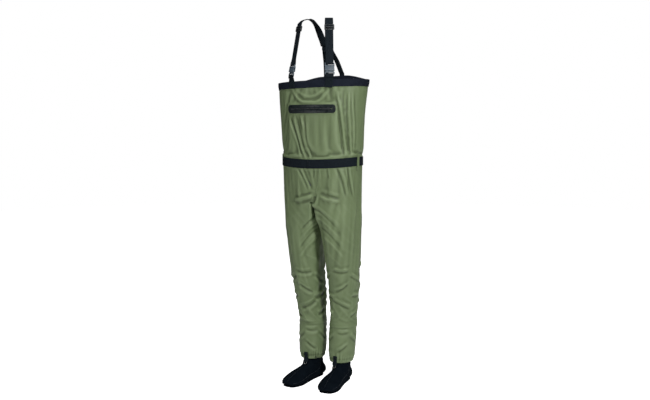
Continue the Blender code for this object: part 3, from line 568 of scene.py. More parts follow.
def stitches(name, lines, material, pitch=0.0042, length=0.0030, radius=0.00035, lift=0.0002):
    """Thread showing as a row of short stitches along each line of (points, outward normals)."""
    points, faces = [], []
    for line, normals in lines:
        line, normals = np.asarray(line, float), np.asarray(normals, float)
        run = np.concatenate([[0], np.linalg.norm(np.diff(line, axis=0), axis=1).cumsum()])
        for start in np.arange(pitch / 2, run[-1] - length, pitch):
            stops = start + length * np.array([0.0, 0.2, 0.8, 1.0])
            at = np.stack([np.interp(stops, run, line[:, k]) for k in range(3)], 1)
            up = np.stack([np.interp(stops, run, normals[:, k]) for k in range(3)], 1)
            up /= np.linalg.norm(up, axis=1)[:, None]
            ahead = at[-1] - at[0]
            sideways = np.cross(up, ahead / np.linalg.norm(ahead))
            sizes = (0.35, 1.0, 1.0, 0.35)
            base = len(points)
            for p, n, w, size in zip(at, up, sideways, sizes):
                for turn in range(4):
                    angle = math.pi / 4 + math.pi / 2 * turn
                    offset = w * math.cos(angle) + n * math.sin(angle)
                    points.append(p + n * lift + offset * radius * size)
            for ring in range(3):
                for k in range(4):
                    a, b = base + ring * 4 + k, base + ring * 4 + (k + 1) % 4
                    faces.append((a, b, b + 4, a + 4))
            faces.append(tuple(base + k for k in (3, 2, 1, 0)))
            faces.append(tuple(base + 12 + k for k in range(4)))
    return make_mesh(name, points, faces, material)


# --- Materials -----------------------------------------------------------------------------------------


class Shade:
    """A Principled material with short ways of adding the nodes that its look needs."""

    def __init__(self, name, roughness, **sockets):
        self.material = bpy.data.materials.new(name)
        self.material.use_nodes = True
        self.tree = self.material.node_tree
        self.shader = self.tree.nodes["Principled BSDF"]
        self.shader.inputs["Roughness"].default_value = roughness
        for socket, value in sockets.items():
            self.shader.inputs[socket.replace("_", " ")].default_value = value
        self.coords = self.tree.nodes.new("ShaderNodeTexCoord")

    def node(self, kind, settings=(), **inputs):
        made = self.tree.nodes.new(kind)
        for key, value in settings:
            setattr(made, key, value)
        for key, value in inputs.items():
            socket = made.inputs[key.replace("_", " ")]
            if isinstance(value, bpy.types.NodeSocket):
                self.tree.links.new(value, socket)
            else:
                socket.default_value = value
        return made

    def mapped(self, space, scale, turn=0.0):
        mapping = self.node("ShaderNodeMapping", Vector=self.coords.outputs[space])
        mapping.inputs["Scale"].default_value = scale
        mapping.inputs["Rotation"].default_value = (0, 0, turn)
        return mapping.outputs["Vector"]

    def noise(self, space, scale, detail=3.0, rough=0.55, stretch=(1, 1, 1)):
        vector = self.mapped(space, stretch)
        made = self.node("ShaderNodeTexNoise", Vector=vector, Scale=scale, Detail=detail, Roughness=rough)
        return made.outputs["Fac"]

    def waves(self, space, pitch, turn, shape="SIN", distortion=0.0):
        """Bands with the given pitch in metres, across the X of the space after a turn."""
        vector = self.mapped(space, (1, 1, 1), turn)
        settings = [("wave_type", "BANDS"), ("bands_direction", "X"), ("wave_profile", shape)]
        scale = 2 * math.pi / (20 * pitch)
        made = self.node("ShaderNodeTexWave", settings, Vector=vector, Scale=scale, Distortion=distortion)
        return made.outputs["Fac"]

    def combine(self, operation, a, b):
        made = self.node("ShaderNodeMath", [("operation", operation)])
        for socket, value in zip(made.inputs, (a, b)):
            if isinstance(value, bpy.types.NodeSocket):
                self.tree.links.new(value, socket)
            else:
                socket.default_value = value
        return made.outputs[0]

    def spread_to(self, value, low, high, from_low=0.0, from_high=1.0):
        made = self.node("ShaderNodeMapRange", Value=value, From_Min=from_low, From_Max=from_high)
        made.inputs["To Min"].default_value = low
        made.inputs["To Max"].default_value = high
        return made.outputs["Result"]

    def blend(self, factor, a, b, kind="MIX"):
        """A colour between a and b."""
        made = self.node("ShaderNodeMix", [("data_type", "RGBA"), ("blend_type", kind)])
        for socket, value in ((made.inputs[0], factor), (made.inputs[6], a), (made.inputs[7], b)):
            if isinstance(value, bpy.types.NodeSocket):
                self.tree.links.new(value, socket)
            elif isinstance(value, (tuple, list)):
                socket.default_value = (*value, 1.0)
            else:
                socket.default_value = value
        return made.outputs[2]

    def colour(self, value):
        self.tree.links.new(value, self.shader.inputs["Base Color"])

    def roughness(self, value):
        self.tree.links.new(value, self.shader.inputs["Roughness"])

    def bump(self, height, strength, distance):
        made = self.node("ShaderNodeBump", Height=height, Strength=strength, Distance=distance)
        self.tree.links.new(made.outputs["Normal"], self.shader.inputs["Normal"])


def shell_fabric(name, light, dark, wear_and_highlight):
    """Coated nylon: a fine plain weave, a slight cloudiness, fold crests paler from rub wear and a painted
    highlight, and painted shade in the fold hollows.
    """
    shade = Shade(name, 0.50, Specular_IOR_Level=0.34)
    cloud = shade.noise("Object", 7.0, 4.0)
    base = shade.blend(shade.spread_to(cloud, 0.0, 1.0, 0.3, 0.7), dark, light)
    ridge = shade.node("ShaderNodeAttribute", [("attribute_name", "ridge")]).outputs["Fac"]
    # Fold crests are blended towards the pale colour: partly rub wear, partly a painted highlight.
    base = shade.blend(shade.spread_to(ridge, 0.0, 0.55, 0.0, 1.0), base, wear_and_highlight)
    # Fold hollows are darkened towards half the dark colour: painted shade where folds would be in shadow.
    base = shade.blend(shade.spread_to(ridge, 0.70, 0.0, -1.0, 0.0), base, tuple(c * 0.50 for c in dark))
    speck = shade.noise("Object", 420.0, 2.0, 0.6)
    base = shade.blend(shade.spread_to(speck, 0.0, 0.14, 0.35, 0.75), base, wear_and_highlight, "SOFT_LIGHT")
    shade.colour(base)
    gloss = shade.noise("Object", 22.0, 3.0)
    shade.roughness(shade.spread_to(gloss, 0.44, 0.62, 0.3, 0.7))
    warp = shade.waves("UV", 0.0011, 0.0)
    weft = shade.waves("UV", 0.0011, math.pi / 2)
    weave = shade.combine("MULTIPLY", warp, weft)
    crumple = shade.noise("Object", 95.0, 3.0, 0.6)
    height = shade.combine("ADD", shade.combine("MULTIPLY", weave, 0.25), crumple)
    shade.bump(height, 0.16, 0.0012)
    return shade.material


def lining_fabric():
    """The tricot inside face."""
    shade = Shade("dark_lining", 0.78, Specular_IOR_Level=0.15)
    cloud = shade.noise("Object", 18.0)
    shade.colour(shade.blend(cloud, (0.011, 0.015, 0.019), (0.024, 0.030, 0.036)))
    knit = shade.combine("MULTIPLY", shade.waves("UV", 0.0012, 0.6), shade.waves("UV", 0.0012, -0.6))
    shade.bump(knit, 0.25, 0.0004)
    return shade.material


def hem_binding():
    """Brushed navy binding, soft and slightly ribbed along its length."""
    shade = Shade("navy_binding", 0.74, Specular_IOR_Level=0.06)
    cloud = shade.noise("Object", 30.0, 4.0)
    shade.colour(shade.blend(cloud, (0.0070, 0.0095, 0.0165), (0.0150, 0.0195, 0.0310)))
    rib = shade.waves("UV", 0.0022, math.pi / 2, distortion=0.4)
    fuzz = shade.noise("Object", 520.0, 2.0)
    shade.bump(shade.combine("ADD", shade.combine("MULTIPLY", rib, 0.5), fuzz), 0.3, 0.0006)
    return shade.material


def webbing_weave(name, dark, light):
    """Herringbone webbing."""
    shade = Shade(name, 0.74, Specular_IOR_Level=0.06)
    left = shade.waves("UV", 0.0021, math.radians(38))
    right = shade.waves("UV", 0.0021, math.radians(-38))
    split = shade.node("ShaderNodeSeparateXYZ", Vector=shade.coords.outputs["UV"])
    chevron = shade.combine("PINGPONG", split.outputs["X"], 0.0045)
    which = shade.combine("GREATER_THAN", chevron, 0.00225)
    twill = shade.node("ShaderNodeMix", [("data_type", "FLOAT")])
    for socket, value in ((twill.inputs[0], which), (twill.inputs[2], left), (twill.inputs[3], right)):
        shade.tree.links.new(value, socket)
    yarn = twill.outputs[0]
    wear = shade.noise("Object", 45.0, 4.0)
    tone = shade.combine("ADD", shade.combine("MULTIPLY", yarn, 0.65), shade.combine("MULTIPLY", wear, 0.5))
    shade.colour(shade.blend(tone, dark, light))
    shade.roughness(shade.spread_to(wear, 0.58, 0.80, 0.3, 0.7))
    shade.bump(yarn, 0.55, 0.0007)
    return shade.material


def neoprene_skin():
    """Jersey-faced neoprene."""
    shade = Shade("neoprene", 0.90, Specular_IOR_Level=0.02)
    cloud = shade.noise("Object", 26.0, 4.0)
    shade.colour(shade.blend(cloud, (0.0022, 0.0040, 0.0066), (0.0064, 0.0102, 0.0150)))
    jersey = shade.noise("Object", 640.0, 2.0, 0.7, (1, 1, 0.55))
    dimple = shade.noise("Object", 60.0, 2.0)
    shade.bump(shade.combine("ADD", jersey, shade.combine("MULTIPLY", dimple, 0.8)), 0.35, 0.0008)
    return shade.material


def moulded(name, dark, light, roughness, grain=700.0):
    """Injection-moulded plastic with a spark-eroded grain and scuffs."""
    shade = Shade(name, roughness, Specular_IOR_Level=0.5)
    scuff = shade.noise("Object", 130.0, 5.0, 0.7, (1, 1, 0.3))
    shade.colour(shade.blend(shade.spread_to(scuff, 0.0, 1.0, 0.35, 0.75), dark, light))
    shade.roughness(shade.spread_to(scuff, roughness - 0.08, roughness + 0.14, 0.3, 0.7))
    shade.bump(shade.noise("Object", grain, 2.0), 0.16, 0.0003)
    return shade.material


def welded_film():
    """Glossy film welded round the zip, with a fine leather-like emboss."""
    shade = Shade("welded_film", 0.30, Specular_IOR_Level=0.30)
    cloud = shade.noise("Object", 60.0, 3.0)
    shade.colour(shade.blend(cloud, (0.0065, 0.0095, 0.0110), (0.0160, 0.0225, 0.0240)))
    shade.roughness(shade.spread_to(cloud, 0.22, 0.42, 0.3, 0.7))
    shade.bump(shade.noise("Object", 380.0, 3.0), 0.18, 0.0004)
    return shade.material


def tape_film():
    """Seam tape: translucent film over the tricot."""
    shade = Shade("seam_tape", 0.42, Specular_IOR_Level=0.5)
    cloud = shade.noise("Object", 50.0, 3.0)
    shade.colour(shade.blend(cloud, (0.035, 0.040, 0.042), (0.070, 0.078, 0.080)))
    shade.bump(shade.noise("Object", 300.0, 2.0), 0.2, 0.0003)
    return shade.material


def thread(name, dark, light):
    """Polyester sewing thread with a visible twist."""
    shade = Shade(name, 0.50, Specular_IOR_Level=0.45)
    twist = shade.noise("Object", 900.0, 1.0)
    shade.colour(shade.blend(twist, dark, light))
    shade.bump(twist, 0.3, 0.0002)
    return shade.material


def wire_metal():
    """Nickel-plated wire."""
    shade = Shade("hook_wire", 0.28, Metallic=1.0)
    tarnish = shade.noise("Object", 240.0, 4.0)
    shade.colour(shade.blend(tarnish, (0.33, 0.33, 0.32), (0.56, 0.56, 0.54)))
    shade.roughness(shade.spread_to(tarnish, 0.22, 0.40, 0.3, 0.7))
    return shade.material


MATERIALS = {
    "green_shell": shell_fabric(
        "green_shell", (0.170, 0.226, 0.112), (0.142, 0.190, 0.092), (0.250, 0.320, 0.178)
    ),
    "dark_lining": lining_fabric(),
    "navy_trim": hem_binding(),
    "black_webbing": webbing_weave("black_webbing", (0.0035, 0.0060, 0.0088), (0.0135, 0.0195, 0.0250)),
    "neoprene": neoprene_skin(),
    "seam_tape": tape_film(),
    "welded_film": welded_film(),
    "zip_resin": moulded("zip_resin", (0.006, 0.009, 0.010), (0.018, 0.024, 0.026), 0.30),
    "buckle_plastic": moulded("buckle_plastic", (0.050, 0.074, 0.098), (0.090, 0.118, 0.142), 0.42),
    "black_plastic": moulded("black_plastic", (0.009, 0.012, 0.014), (0.026, 0.031, 0.034), 0.38),
    "hook_wire": wire_metal(),
    "green_thread": thread("green_thread", (0.115, 0.145, 0.085), (0.215, 0.262, 0.165)),
    "dark_thread": thread("dark_thread", (0.016, 0.021, 0.028), (0.045, 0.055, 0.066)),
}


# --- The shell: torso and legs in one sheet ------------------------------------------------------------


def leg_ring(side, torso_ring, midline):
    """Which points of the crotch level go round one leg, and their angles about its centre."""
    columns = len(torso_ring)
    outline = [(side * k) % columns for k in range(columns // 2 + 1)]
    ring = np.vstack([torso_ring[outline], midline])
    leg_y, leg_x = section(LEG, CROTCH_Z)[2:]
    turns = np.unwrap(np.arctan2(ring[:, 1] - leg_y, side * ring[:, 0] - leg_x))
    return outline, turns


def build_shell_grid(columns, torso_rows, midline_points, leg_rows):
    """Points, faces and UVs of the shell."""
    half = columns // 2
    turns = -math.pi / 2 + 2 * math.pi * np.arange(columns) / columns
    share = np.linspace(0, 1, torso_rows)[:, None]
    top = hem_foot(turns) + HEM_HEIGHT - SHELL_UNDER_HEM
    torso = torso_points(turns[None], CROTCH_Z + share * (top - CROTCH_Z)[None])
    front, back = torso[0, 0], torso[0, half]
    steps = np.linspace(0, 1, midline_points + 2)[1:-1, None]
    midline = back + (front - back) * steps
    blocks = [torso.reshape(-1, 3), midline]
    uvs = [np.stack(np.broadcast_arrays(turns[None] * 0.19, torso[..., 2]), -1).reshape(-1, 2)]
    uvs.append(np.stack([midline[:, 1], midline[:, 2]], -1))
    faces = grid_faces(torso_rows, columns, True)
    count = torso_rows * columns + midline_points
    low = GUARD_TOP_Z - 0.006
    for side in (1, -1):
        outline, angles = leg_ring(side, torso[0], midline)
        z = CROTCH_Z + (low - CROTCH_Z) * np.arange(1, leg_rows)[:, None] / (leg_rows - 1)
        flare = 0.0013 * smooth((GUARD_TOP_Z + 0.010 - z) / 0.012)
        leg = leg_points(side, angles[None], z, flare)
        ring = outline + [torso_rows * columns + k for k in range(midline_points)]
        ids = count + np.arange(leg.shape[0] * leg.shape[1]).reshape(leg.shape[:2])
        ids = np.vstack([ring, ids])
        for upper, lower in zip(ids, ids[1:]):
            for c in range(len(ring)):
                d = (c + 1) % len(ring)
                quad = (lower[c], lower[d], upper[d], upper[c])
                faces.append(quad if side > 0 else quad[::-1])
        count += leg.shape[0] * leg.shape[1]
        blocks.append(leg.reshape(-1, 3))
        uvs.append(np.stack(np.broadcast_arrays(angles[None] * 0.09, leg[..., 2]), -1).reshape(-1, 2))
    return np.vstack(blocks), faces, np.vstack(uvs)


def fold_field(points, normals, line, width, rise, lean, fade=0.22):
    """How far a fold along a line lifts each point. Its lee side dips by the lean's share."""
    line = np.asarray(line, float)
    run = np.concatenate([[0], np.linalg.norm(np.diff(line, axis=0), axis=1).cumsum()])
    best = np.full(len(points), 1e9)
    along, across = np.zeros(len(points)), np.zeros(len(points))
    near = np.linalg.norm(points[:, None] - line[None, :: max(1, len(line) // 12)], axis=2).min(1)
    chosen = np.flatnonzero(near < 4 * width + run[-1] / 10)
    p, n = points[chosen], normals[chosen]
    for k in range(len(line) - 1):
        a, d = line[k], line[k + 1] - line[k]
        share = np.clip(((p - a) @ d) / (d @ d), 0, 1)
        off = p - a - share[:, None] * d
        distance = np.linalg.norm(off, axis=1)
        closer = distance < best[chosen]
        sign = np.sign((np.cross(n, d) * off).sum(1))
        index = chosen[closer]
        best[index] = distance[closer]
        across[index] = (distance * sign)[closer]
        along[index] = ((run[k] + share * np.linalg.norm(d)) / run[-1])[closer]
    e = across / width
    crest = np.exp(0.30 - 1.35 * np.sqrt(e * e + 0.05))
    shape = crest - 0.8 * abs(lean) * np.exp(-(((e - 1.6 * np.sign(lean)) / 0.95) ** 2))
    taper = smooth(along / fade) * smooth((1 - along) / fade)
    return np.where(best < 4 * width, rise * shape * taper, 0.0)


def torso_line(marks, step=0.008):
    """A line on the torso through marks of (angle in degrees, height)."""
    marks = curve_through([(math.radians(t), z) for t, z in marks], step / 0.4)
    return torso_points(marks[:, 0], marks[:, 1])


def leg_line(side, marks, step=0.008):
    """A line on one leg through marks of (angle in degrees, height)."""
    marks = curve_through([(math.radians(t), z) for t, z in marks], step / 0.2)
    return leg_points(side, marks[:, 0], np.minimum(marks[:, 1], CROTCH_Z))


def crotch_hollows(points, side):
    """The cloth falls away under the crotch at the inner front of each thigh, and behind."""
    x, y, z = points.T
    total = np.zeros(len(points))
    hollows = ((-140, 0.826, 0.030, 0.024, 0.011), (138, 0.815, 0.034, 0.026, 0.009))
    for turn, height, wide, tall, depth in hollows:
        centre = leg_points(side, math.radians(turn), height)
        e = ((x - centre[0]) ** 2 + (y - centre[1]) ** 2) / wide**2 + (z - height) ** 2 / tall**2
        total -= depth * np.exp(-e)
    return total * (side * x > -0.001)


def creases(points, seed, level=1.0):
    """Small flat facets between sharp creases, in patches. More level means more across the body."""
    rng = np.random.default_rng(seed)
    drift = np.stack([wobble(points, 0.17, seed + k) for k in range(3)], 1) * 0.013
    total = np.zeros(len(points))
    for size, share in ((0.095, 1.0), (0.070, 0.8), (0.052, 0.6), (0.038, 0.4)):
        direction = unit(rng.normal(size=3) * (1, 1, level))
        phase = (points + drift) @ direction * math.pi / size + rng.uniform(0, 3)
        total += share * (0.64 - np.abs(np.sin(phase)))
    return total * smooth(0.55 + 0.7 * wobble(points, 0.15, seed + 9))


def creasing(points):
    """How deep the small creases are: deepest at the knees and shins, least on the chest."""
    z = points[:, 2]
    return 0.0020 + 0.0022 * smooth((0.60 - z) / 0.10) + 0.0014 * smooth((0.88 - z) / 0.05)


def shell_displacement(points, normals):
    below = smooth((1.02 - points[:, 2]) / 0.12)
    fine = (1 - below) * creases(points, 11, 0.25) + below * creases(points, 12, 1.3)
    rise = 0.0022 * wobble(points * (1, 1, 0.5), 0.12, 3) + creasing(points) * fine
    for marks, width, height, lean in TORSO_FOLDS:
        rise += fold_field(points, normals, torso_line(marks), width, height, lean)
    for side in (1, -1):
        own = side * points[:, 0] > -0.0015
        for marks, width, height, lean in LEG_FOLDS:
            marks = [(t + 17 * side, h + 0.007 * side) for t, h in marks]
            rise += own * fold_field(points, normals, leg_line(side, marks), width, height, lean)
        for marks, width, height, lean in BACK_LEG_FOLDS:
            marks = [(t + 6 * side, h - 0.006 * side) for t, h in marks]
            rise += own * fold_field(points, normals, leg_line(side, marks), width, height, lean)
        rise += crotch_hollows(points, side)
    return rise * holding(points, rise)


def holding(points, rise):
    """How freely each point may move: it is held at the hem, the belt, the zip and the guard seam."""
    x, y, z = points.T
    t = np.arctan2(y, x)
    hem = smooth((hem_foot(t) + 0.006 - z) / 0.014)
    near_belt = smooth((np.abs(z - belt_middle(t)) - BELT_HEIGHT / 2) / 0.016)
    belt = np.where(rise > 0, near_belt, 0.25 + 0.75 * near_belt)
    off_zip = np.maximum(np.abs(x - ZIP_SHIFT) - ZIP_HOLD[0], np.abs(z - ZIP_Z) - ZIP_HOLD[1])
    zipper = np.where(y < 0, smooth(off_zip / 0.016), 1.0)
    guard = smooth((z - GUARD_TOP_Z + 0.002) / 0.020)
    return hem * belt * zipper * guard


def neighbour_mean(points, pairs, times=1):
    """Each point's values averaged with its neighbours'."""
    degree = np.zeros(len(points))
    np.add.at(degree, pairs[:, 0], 1)
    np.add.at(degree, pairs[:, 1], 1)
    for _ in range(times):
        total = np.zeros_like(points)
        np.add.at(total, pairs[:, 0], points[pairs[:, 1]])
        np.add.at(total, pairs[:, 1], points[pairs[:, 0]])
        points = total / (degree[:, None] if points.ndim > 1 else degree)
    return points


def ridge_values(mesh):
    """Positive on the crests of folds and negative in their hollows, from -1 to 1."""
    count = len(mesh.vertices)
    points, normals = np.zeros(count * 3), np.zeros(count * 3)
    mesh.vertices.foreach_get("co", points)
    mesh.vertices.foreach_get("normal", normals)
    points, normals = points.reshape(-1, 3), normals.reshape(-1, 3)
    pairs = np.zeros(len(mesh.edges) * 2, np.int32)
    mesh.edges.foreach_get("vertices", pairs)
    pairs = pairs.reshape(-1, 2)
    bend = ((points - neighbour_mean(points, pairs, 3)) * normals).sum(1)
    bend = neighbour_mean(bend, pairs, 2)
    return np.clip(bend / FULL_BEND, -1, 1)


# The ridge values drive the shell material's painted highlight on crests and painted shade in hollows.
def mark_ridges(obj):
    attribute = obj.data.attributes.new("ridge", "FLOAT", "POINT")
    attribute.data.foreach_set("value", ridge_values(obj.data).astype(np.float32))


def hang(points, faces):
    """How far cloth of this shape moves as it hangs from its seams with some length to spare."""
    obj = make_mesh("hanging_cloth", points, faces, MATERIALS["green_shell"])
    held = obj.vertex_groups.new(name="held")
    for k, weight in enumerate(1 - holding(points, np.ones(len(points)))):
        if weight > 0.02:
            held.add([k], float(weight), "REPLACE")
    cloth = obj.modifiers.new("cloth", "CLOTH")
    cloth.settings.quality = 5
    cloth.settings.mass = 0.20
    cloth.settings.air_damping = 2.0
    cloth.settings.tension_stiffness = 14
    cloth.settings.compression_stiffness = 14
    cloth.settings.shear_stiffness = 6
    cloth.settings.bending_stiffness = 0.35
    cloth.settings.vertex_group_mass = held.name
    cloth.settings.shrink_min = -DRAPE_EASE
    cloth.collision_settings.use_collision = False
    cloth.point_cache.frame_start = 1
    cloth.point_cache.frame_end = DRAPE_FRAMES
    scene = bpy.context.scene
    for frame in range(1, DRAPE_FRAMES + 1):
        scene.frame_set(frame)
    hung = obj.evaluated_get(bpy.context.evaluated_depsgraph_get()).data
    shift = np.array([moved.co - still.co for moved, still in zip(hung.vertices, obj.data.vertices)])
    bpy.data.objects.remove(obj)
    scene.frame_set(1)
    return shift


def apart(points):
    """The points with the legs moved apart, so that neither takes its movement from the other."""
    gap = LEGS_APART * smooth((CROTCH_Z - points[:, 2]) / LEGS_APART)
    return points + np.stack([np.sign(points[:, 0]) * gap, gap * 0, gap * 0], 1)


def draped(points):
    """The shell's points after a coarser copy of it has hung as cloth."""
    halves = (TORSO_COLUMNS // 4 * 2, TORSO_ROWS // 2, MIDLINE_POINTS // 2, LEG_ROWS // 2)
    coarse, faces, _ = build_shell_grid(*halves)
    normals = point_normals(coarse, faces)
    coarse = coarse + normals * shell_displacement(coarse, normals)[:, None]
    shift = hang(coarse, faces)
    length = np.linalg.norm(shift, axis=1)[:, None]
    shift *= DRAPE_CAP * np.tanh(length / DRAPE_CAP) / np.maximum(length, 1e-9)
    tree = KDTree(len(coarse))
    for k, place in enumerate(apart(coarse)):
        tree.insert(place, k)
    tree.balance()
    result = np.array(points)
    freedom = holding(points, np.ones(len(points))) * smooth((points[:, 2] - GUARD_TOP_Z) / 0.05)
    for k, place in enumerate(apart(points)):
        near = tree.find_n(place, DRAPE_NEIGHBOURS)
        weights = np.exp([-((distance / DRAPE_REACH) ** 2) for _, _, distance in near]) + 1e-9
        result[k] += freedom[k] * (weights @ shift[[index for _, index, _ in near]]) / weights.sum()
    legs = result[:, 2] < CROTCH_Z - 0.012
    side = np.sign(points[:, 0])
    result[:, 0] = np.where(legs, side * np.maximum(side * result[:, 0], 0.0010), result[:, 0])
    return result


def build_shell():
    points, faces, uv = build_shell_grid(TORSO_COLUMNS, TORSO_ROWS, MIDLINE_POINTS, LEG_ROWS)
    normals = point_normals(points, faces)
    points = points + normals * shell_displacement(points, normals)[:, None]
    points = draped(points)
    obj = make_mesh("shell", points, faces, MATERIALS["green_shell"], uv)
    mark_ridges(obj)
    obj.data.materials.append(MATERIALS["dark_lining"])
    solidify = obj.modifiers.new("thickness", "SOLIDIFY")
    solidify.thickness = FABRIC
    solidify.offset = -1.0
    solidify.material_offset = 1
    solidify.use_rim = True
    settle(obj, ("front_torso_panel", "back_torso_panel", "left_leg", "right_leg"))
    return obj


# --- Gravel guards and what is under them --------------------------------------------------------------

GUARD_COLUMNS = 144
GUARD_LEVELS = 58
SHIN_COLUMNS = 72
SHIN_LOW_Z = 0.1395
SHIN_HIGH_Z = 0.290
# Each guard keeps at least this far outside its liner.
LINER_ROOM = 0.0016


def gathers(side, t, z):
    """Pleats drawn up by the elastic: sharp hollows between rounded crests, fading up the guard."""
    phase = 21 * t + 2.2 * np.sin(3 * t + side) + 1.4 * np.sin(5 * t - 2 * side)
    crest = np.abs(np.sin(phase)) ** 0.65
    fine = np.abs(np.sin(1.7 * phase + 1.0)) ** 0.8
    reach = 0.028 + 0.016 * np.sin(4 * t + 1.3 * side) + 0.010 * np.sin(9 * t)
    size = smooth((GUARD_HEM_Z + 0.024 + reach - z) / (reach + 0.006))
    pinch = np.exp(-(((z - GUARD_HEM_Z - 0.0165) / 0.0035) ** 2))
    return size * (0.0052 * (crest - 0.62) + 0.0020 * (fine - 0.6)) - 0.0018 * pinch


def guard_surface(side, t, z, out=0.0):
    """Points of a guard with its gathers, moved outwards."""
    t, z = np.broadcast_arrays(np.asarray(t, float), np.asarray(z, float))
    hold = smooth((GUARD_TOP_Z + 0.006 - z) / 0.012)
    return leg_points(side, t, z, out + hold * gathers(side, t, z))


def build_guard(side, name):
    turns = side * 2 * math.pi * np.arange(GUARD_COLUMNS) / GUARD_COLUMNS
    rows = np.linspace(GUARD_HEM_Z, GUARD_TOP_Z + 0.003, GUARD_LEVELS)[:, None]
    grid = guard_surface(side, turns[None], rows, -0.0004)
    points = grid.reshape(-1, 3)
    faces = grid_faces(len(rows), GUARD_COLUMNS, True)
    normals = point_normals(points, faces)
    rise = 0.0008 * wobble(points, 0.07, 8 + side) + 0.0032 * creases(points, 17 + side)
    for marks, width, height, lean in GUARD_FOLDS:
        marks = [(t + 25 * side, h) for t, h in marks]
        rise = rise + fold_field(points, normals, leg_line(side, marks), width, height, lean, 0.3)
    rise = rise * smooth((GUARD_TOP_Z - 0.004 - points[:, 2]) / 0.020)
    liner = leg_points(side, turns[None], rows, 0.0012, SHIN).reshape(-1, 3)
    room = np.linalg.norm(points - liner, axis=1)
    rise = np.maximum(rise, LINER_ROOM - room)
    points = points + normals * rise[:, None]
    obj = thick_grid(name + "_guard", points.reshape(grid.shape), FABRIC, MATERIALS["green_shell"], True)
    mark_ridges(obj)
    settle(obj, (name + "_gravel_guard",))
    build_cuff_elastic(side, name)
    build_shin(side, name)


def build_cuff_elastic(side, name):
    turns = side * 2 * math.pi * np.arange(GUARD_COLUMNS) / GUARD_COLUMNS
    rows = np.linspace(GUARD_HEM_Z + 0.0015, GUARD_HEM_Z + 0.0135, 5)[:, None]
    grid = guard_surface(side, turns[None], rows, -0.0024)
    obj = thick_grid(name + "_gathered_elastic", grid, 0.0008, MATERIALS["black_webbing"], True)
    settle(obj, (name + "_cuff_elastic",))


def build_shin(side, name):
    turns = side * 2 * math.pi * np.arange(SHIN_COLUMNS) / SHIN_COLUMNS
    rows = np.linspace(SHIN_LOW_Z, SHIN_HIGH_Z, 30)[:, None]
    grid = leg_points(side, turns[None], rows, 0.0, SHIN)
    wave = 0.0008 * wobble(grid.reshape(-1, 3) * (1, 1, 2.2), 0.06, 12 + side).reshape(grid.shape[:2])
    grid = leg_points(side, turns[None], rows, wave - 0.0006, SHIN)
    obj = thick_grid(name + "_shin_sleeve", grid, 0.0010, MATERIALS["dark_lining"], True)
    settle(obj, (name + "_shin_liner",))


# --- Hem bands -----------------------------------------------------------------------------------------


def build_hem_band(name, first, last, node):
    """Binding folded over the shell's edge, with a soft rounded top and a turned-in foot."""
    turns = np.linspace(first, last, 121)
    half = 0.0019
    profile = [(-half * 0.4, 0.0004), (half, 0.0002), (half + 0.0005, 0.0020), (half + 0.0003, 0.0050)]
    profile += [(half + 0.0009, 0.012), (half + 0.0012, 0.0165)]
    profile += [(half + 0.0008, 0.022), (half + 0.0002, 0.0275)]
    for k in range(7):
        turn = math.pi * k / 6
        profile.append((half * math.cos(turn), HEM_HEIGHT - 0.0032 + 0.0030 * math.sin(turn)))
    profile += [(-half, 0.022), (-half - 0.0003, 0.010), (-half, 0.0012)]
    outs = np.array([out for out, _ in profile])[:, None]
    ups = np.array([up for _, up in profile])[:, None]
    soft = 0.0005 * wobble(np.stack([turns * 0.2, turns * 0, turns * 0], 1), 0.05, 21)[None]
    grid = torso_points(turns[None], hem_foot(turns)[None] + ups, outs - 0.0002 + soft)
    rows, columns = grid.shape[:2]
    faces = []
    for r in range(rows):
        for c in range(columns - 1):
            s = (r + 1) % rows
            faces.append((r * columns + c, r * columns + c + 1, s * columns + c + 1, s * columns + c))
    faces.append([r * columns for r in range(rows)])
    faces.append([r * columns + columns - 1 for r in range(rows)][::-1])
    uv = np.stack(np.broadcast_arrays(turns[None] * 0.2, ups), -1)
    obj = make_mesh(name, grid, faces, MATERIALS["navy_trim"], uv)
    fix_normals(obj)
    settle(obj, (node,))
    line = torso_points(turns, hem_foot(turns) + 0.0042, half + 0.0002)
    outward = torso_points(turns, hem_foot(turns), 0.01) - torso_points(turns, hem_foot(turns))
    thread_line = stitches(name + "_topstitch", [(line, outward)], MATERIALS["dark_thread"])
    settle(thread_line)


def build_hem():
    build_hem_band("front_binding", -math.pi + 0.0022, -0.0022, "front_hem_band")
    build_hem_band("back_binding", 0.0022, math.pi - 0.0022, "back_hem_band")


# --- Camera, light and floor ---------------------------------------------------------------------------


def build_camera():
    data = bpy.data.cameras.new("camera")
    data.lens = 45.415
    data.sensor_width = 36.0
    data.dof.use_dof = False
    camera = placed("camera", data)
    azimuth, reach, height = math.radians(28), 3.8, 1.2
    tilt, turn = math.radians(84.85), math.radians(27.92)
    camera.location = (reach * math.sin(azimuth), STANCE_SHIFT - reach * math.cos(azimuth), height)
    camera.rotation_euler = (tilt, 0, turn)
    bpy.context.scene.camera = camera


def softbox(name, location, target, size, power):
    data = bpy.data.lights.new(name, "AREA")
    data.shape = "RECTANGLE"
    data.size, data.size_y = size
    data.energy = power
    light = placed(name, data)
    light.location = location
    light.rotation_euler = (Vector(target) - Vector(location)).to_track_quat("-Z", "Y").to_euler()


